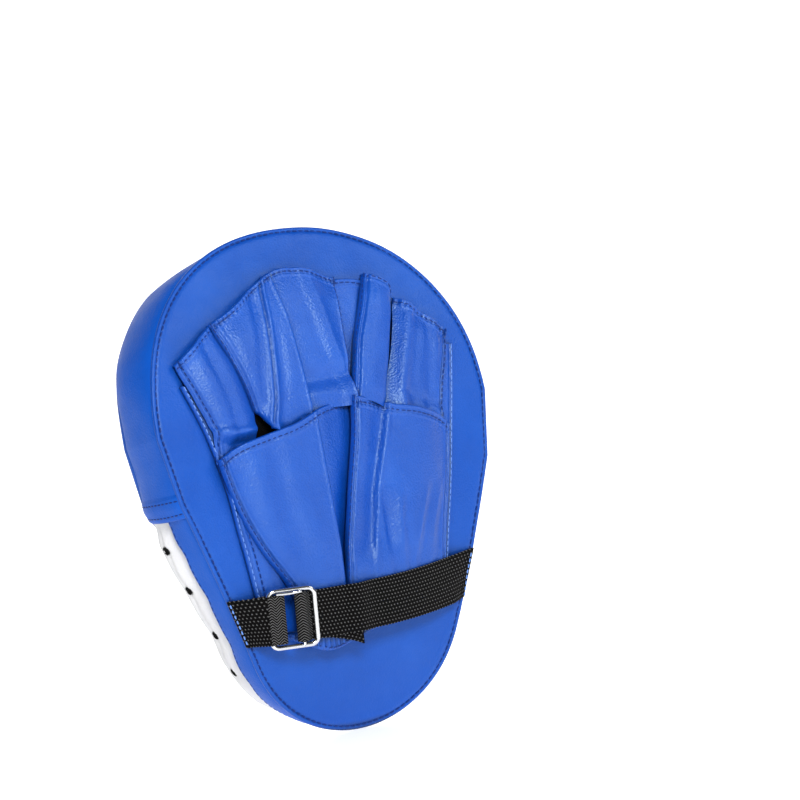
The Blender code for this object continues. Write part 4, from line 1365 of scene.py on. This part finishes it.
def arc_round(centre, start, end, steps, radius=TURN_RADIUS):
    """Points (across, rise, drop) round a bar from one angle to another, in degrees."""
    turn = np.radians(np.linspace(start, end, steps + 1))
    return [(centre[0] + radius * math.cos(angle), centre[1] + radius * math.sin(angle), 0.0)
            for angle in turn]


def ribbon(name, path, look, body, count, end_side=0.0):
    """Webbing along a path of (across, rise, drop), with soft round edges; UVs in metres."""
    knots = np.array(path, float)
    route = through(knots, np.linspace(0.0, 1.0, count))
    flow = np.gradient(route[:, :2], axis=0)
    flow /= np.linalg.norm(flow, axis=1)[:, None]
    reach = path_reach(route[:, :2])
    half = WEBBING / 2
    section = [(part * STRAP_WIDTH / 2, half) for part in np.linspace(-0.965, 0.965, 13)]
    section += [(STRAP_WIDTH / 2 * 0.99, half * 0.6), (STRAP_WIDTH / 2 * 0.99, -half * 0.6)]
    section += [(-shift, -lift) for shift, lift in section]
    rows = []
    uvs = []
    span = half_width(STRAP_LEVEL) - abs(LEFT_BAR) - WIRE_RADIUS
    for shift, lift in section:
        across = route[:, 0] - flow[:, 1] * lift
        rise = route[:, 1] + flow[:, 0] * lift
        if end_side:
            reach_out = (np.abs(across) - abs(LEFT_BAR) - WIRE_RADIUS) * (across * end_side > 0.0)
            level = STRAP_LEVEL + strap_bow(end_side * TIP_RADIUS)
            stretch = half_width(level + shift) - half_width(level)
            across = across + end_side * stretch * np.clip(reach_out / span, 0.0, 1.0)
        fray = 0.12 * np.sin(reach * 2.0 * math.pi / 1.9) * (abs(shift) > STRAP_WIDTH * 0.46)
        place = shift + fray * math.copysign(1.0, shift) + strap_bow(route[:, 0]) - route[:, 2]
        rows.append(strap_place(across, place, rise))
        uvs.append(np.column_stack([reach, np.full(count, shift)]) * MM)
    faces = grid_faces(len(section), count, round_rows=True)
    faces.append(tuple(row * count for row in range(len(section) - 1, -1, -1)))
    faces.append(tuple(row * count + count - 1 for row in range(len(section))))
    return piece(name, np.array(rows), faces, look, body, uvs=np.array(uvs))


def strap():
    """Anchor loop, and one adjustable strap: tail, turn round the centre bar, and main run."""
    left_bar = (LEFT_BAR, float(bar_rise(LEFT_BAR)))
    seam = float(half_width(STRAP_LEVEL)) - 0.3
    anchor = [(-seam, GAP + 0.6, 0.0), (-68.0, 1.3, 0.0), (-64.6, 2.0, 0.0), (-62.0, 3.7, 0.0),
              (-59.0, 6.2, 0.0), (-56.4, 8.1, 0.0)]
    anchor += arc_round(left_bar, 118.0, 80.0, 3, ANCHOR_TURN)
    anchor += arc_round((LOOP_FOLD, float(bar_rise(LOOP_FOLD))), 80.0, -80.0, 8, LOOP_FOLD_RADIUS)
    anchor += arc_round(left_bar, -80.0, -100.0, 2, ANCHOR_TURN)
    anchor += [(-56.4, left_bar[1] - 2.6, 0.0), (-59.4, left_bar[1] - 2.95, 0.0)]
    made = ribbon("anchor_webbing", anchor, ANCHOR_WEAVE, "pad", 200, end_side=-1.0)
    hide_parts("strap_anchor")

    centre_bar = (CENTRE_BAR, float(bar_rise(CENTRE_BAR)))
    path = []
    for across in np.linspace(TAIL_END, TURN_END, 9):
        drop = TAIL_DROP * max(0.0, (across - STRAP_START) / (TAIL_END - STRAP_START)) ** 2
        path.append((across, float(under_strap(across)) + STRAP_LAYER, drop))
    path += arc_round(centre_bar, 285.0, 60.0, 11)
    path.append((CENTRE_BAR + 2.6, centre_bar[1] + 0.5, 0.0))
    end = float(half_width(STRAP_LEVEL + STRAP_BOW)) - 0.3
    for across in np.linspace(TURN_END, end, 26):
        path.append((across, max(float(main_rise(across)), GAP + WEBBING / 2), 0.0))
    made = ribbon("strap_webbing", path, STRAP_WEAVE, None, 460, end_side=1.0)
    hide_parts("wrist_strap", "strap_turn", "strap_tail")
    end = Vector(strap_place(-34.0, 0.0, float(main_rise(-34.0))))
    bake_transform(made)
    sew("strap_end_stitches", [end_seam(-1.0), end_seam(1.0)], PALE_THREAD_AND_HIGHLIGHT, pitch=3.0,
        length=2.0, width=0.9, height=0.7)


def end_seam(side):
    """Stitches across the webbing where it runs into the pad's edge."""
    bow = float(strap_bow(side * TIP_RADIUS))
    shift = np.linspace(-10.6, 10.6, 14)
    across = side * (half_width(STRAP_LEVEL + bow + shift) + (1.2 if side < 0.0 else -1.8))
    rise = np.maximum(main_rise(side * np.abs(across)), GAP + WEBBING / 2) + WEBBING / 2 + 0.5
    if side < 0.0:
        rise = np.full_like(shift, GAP + WEBBING + 0.4)
    line = strap_place(across, shift + bow, rise)
    return line, (strap_place(across, shift + bow, rise + 1.0) - line) / MM


def wire(name, points, radius, closed=False):
    """Round wire along world points."""
    curve = bpy.data.curves.new(name, "CURVE")
    curve.dimensions = "3D"
    curve.bevel_depth = radius * MM
    curve.bevel_resolution = 5
    curve.use_fill_caps = not closed
    run = curve.splines.new("POLY")
    run.points.add(len(points) - 1)
    for knot, point in zip(run.points, points):
        knot.co = (*point, 1.0)
    run.use_cyclic_u = closed
    curve.materials.append(CHROME)
    made = bpy.data.objects.new(name, curve)
    bpy.context.scene.collection.objects.link(made)
    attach(made, "buckle")
    return made


def buckle():
    """Bent wire frame with rounded corners; the centre bar's ends bend over the front of its rails."""
    corner = BUCKLE_CORNER
    points = []
    corners = ((RIGHT_BAR, 0.5, 0.0), (LEFT_BAR, 0.5, 90.0), (LEFT_BAR, -0.5, 180.0),
               (RIGHT_BAR, -0.5, 270.0))
    for across, half, start in corners:
        inwards = corner if across == LEFT_BAR else -corner
        middle = (across + inwards, half * (BUCKLE_HEIGHT - 2.0 * corner))
        for step in range(11):
            turn = math.radians(start + 90.0 * step / 10)
            place = middle[0] + corner * math.cos(turn)
            shift = middle[1] + corner * math.sin(turn)
            points.append(strap_place(place, shift, float(bar_rise(place))))
    made = wire("buckle_wire", points, WIRE_RADIUS, closed=True)
    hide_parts("buckle_frame")

    rail = BUCKLE_HEIGHT / 2
    hook = [(0.0, 0.5, 0.0), (0.0, rail - 6.0, 0.0), (0.0, rail - 3.2, 0.1), (-0.1, rail - 2.0, 0.9),
            (-0.5, rail - 1.3, 1.7)]
    top = hook + [(-1.6, rail - 1.1, 2.1), (-4.4, rail - 1.3, 1.9), (-8.0, rail - 1.3, 1.8),
                  (-12.0, rail - 1.2, 1.7)]
    bottom = [(across, -shift, lift) for across, shift, lift in hook] + [(-0.9, 0.3 - rail, 2.1)]
    knots = np.array(top[::-1] + bottom, float)
    route = through(knots, np.linspace(0.0, 1.0, 160))
    points = [strap_place(CENTRE_BAR + across, shift, float(bar_rise(CENTRE_BAR + across)) + lift)
              for across, shift, lift in route]
    made = wire("buckle_centre_wire", points, WIRE_RADIUS * 0.72)
    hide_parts("buckle_bar")


# Camera, floor and light ----------------------------------------------------------------------

def camera():
    """The view: level, turned to the glove side's left, with the picture tilted."""
    back = Vector((math.sin(CAMERA_TURN), -math.cos(CAMERA_TURN), 0.0))
    level_right = Vector((math.cos(CAMERA_TURN), math.sin(CAMERA_TURN), 0.0))
    right = level_right * math.cos(CAMERA_ROLL) - Vector((0.0, 0.0, 1.0)) * math.sin(CAMERA_ROLL)
    up = level_right * math.sin(CAMERA_ROLL) + Vector((0.0, 0.0, 1.0)) * math.cos(CAMERA_ROLL)
    middle = Vector(bend(0.0, PAD_LENGTH / 2, 0.0))
    place = middle + back * CAMERA_DISTANCE
    aim = middle + right * AIM_RIGHT + up * AIM_UP
    forward = (aim - place).normalized()
    right = forward.cross(up).normalized()
    up = right.cross(forward)
    data = bpy.data.cameras.new("camera")
    data.lens = CAMERA_LENS
    data.sensor_width = 36.0
    made = bpy.data.objects.new("camera", data)
    made.location = place
    made.rotation_mode = "QUATERNION"
    turn = Matrix((right, up, -forward)).transposed()
    made.rotation_quaternion = turn.to_quaternion()
    bpy.context.scene.collection.objects.link(made)
    bpy.context.scene.camera = made
    return middle, back, level_right


def lamp(name, place, aim, size, power):
    """A square area lamp that faces a point."""
    data = bpy.data.lights.new(name, "AREA")
    data.size = size
    data.energy = power
    made = bpy.data.objects.new(name, data)
    made.location = place
    made.rotation_mode = "QUATERNION"
    made.rotation_quaternion = (aim - place).to_track_quat("-Z", "Y")
    bpy.context.scene.collection.objects.link(made)


def studio(middle, back, right):
    """Pale floor with a swept backdrop that glows as painted light, weaker near the pad as painted shadow;
    a key light over the camera, a weak fill and a white world.
    """
    steps = 24
    reach = 6.0
    rows = [(-reach, 0.0)]
    for step in range(steps + 1):
        turn = math.pi / 2 * step / steps
        rows.append((3.0 + math.sin(turn), 1.0 - math.cos(turn)))
    rows.append((4.0, 6.0))
    points = []
    for distance, height in rows:
        for side in (-reach, reach):
            spot = -back * distance + right * side
            points.append((spot.x, spot.y, height - FLOOR_DROP * MM))
    faces = grid_faces(len(rows), 2, flip=True)
    mesh = bpy.data.meshes.new("floor")
    mesh.from_pydata(points, [], faces)
    mesh.shade_smooth()
    floor_look = Nodes("pale_floor")
    tone = floor_look.ramp(floor_look.noise(3.0), (0.0, (0.90, 0.90, 0.90)), (1.0, (0.94, 0.94, 0.94)))
    floor_look.join(tone, floor_look.shader.inputs["Base Color"])
    # Painted light: the floor and backdrop glow by themselves, and the glow is weaker close to the pad, a
    # painted shadow round it.
    away = floor_look.add("ShaderNodeVectorMath", operation="LENGTH")
    floor_look.join(floor_look.place(), away.inputs[0])
    glow = floor_look.ramp(floor_look.math("MULTIPLY", away.outputs["Value"], 0.5),
                           (0.15, (0.62, 0.62, 0.62)), (0.6, WHITE))
    floor_look.join(glow, floor_look.shader.inputs["Emission Color"])
    floor_look.set(Roughness=0.3, Specular_IOR_Level=0.4, Emission_Strength=1.0)
    mesh.materials.append(floor_look.material)
    made = bpy.data.objects.new("floor", mesh)
    bpy.context.scene.collection.objects.link(made)

    world = bpy.data.worlds.new("studio")
    world.use_nodes = True
    world.node_tree.nodes["Background"].inputs["Color"].default_value = (*WHITE, 1.0)
    world.node_tree.nodes["Background"].inputs["Strength"].default_value = 0.12
    bpy.context.scene.world = world
    up = Vector((0.0, 0.0, 1.0))
    lamp("key", middle + back * 1.35 + right * 0.22 + up * 0.62, middle, 0.40, 15.0)
    lamp("fill", middle + Vector((0.75, -1.05, 0.62)), middle, 0.5, 4.0)
    bpy.context.scene.view_settings.view_transform = "Standard"


middle_point, back_direction, right_direction = camera()
studio(middle_point, back_direction, right_direction)
pad_body()
glove()
strap()
buckle()
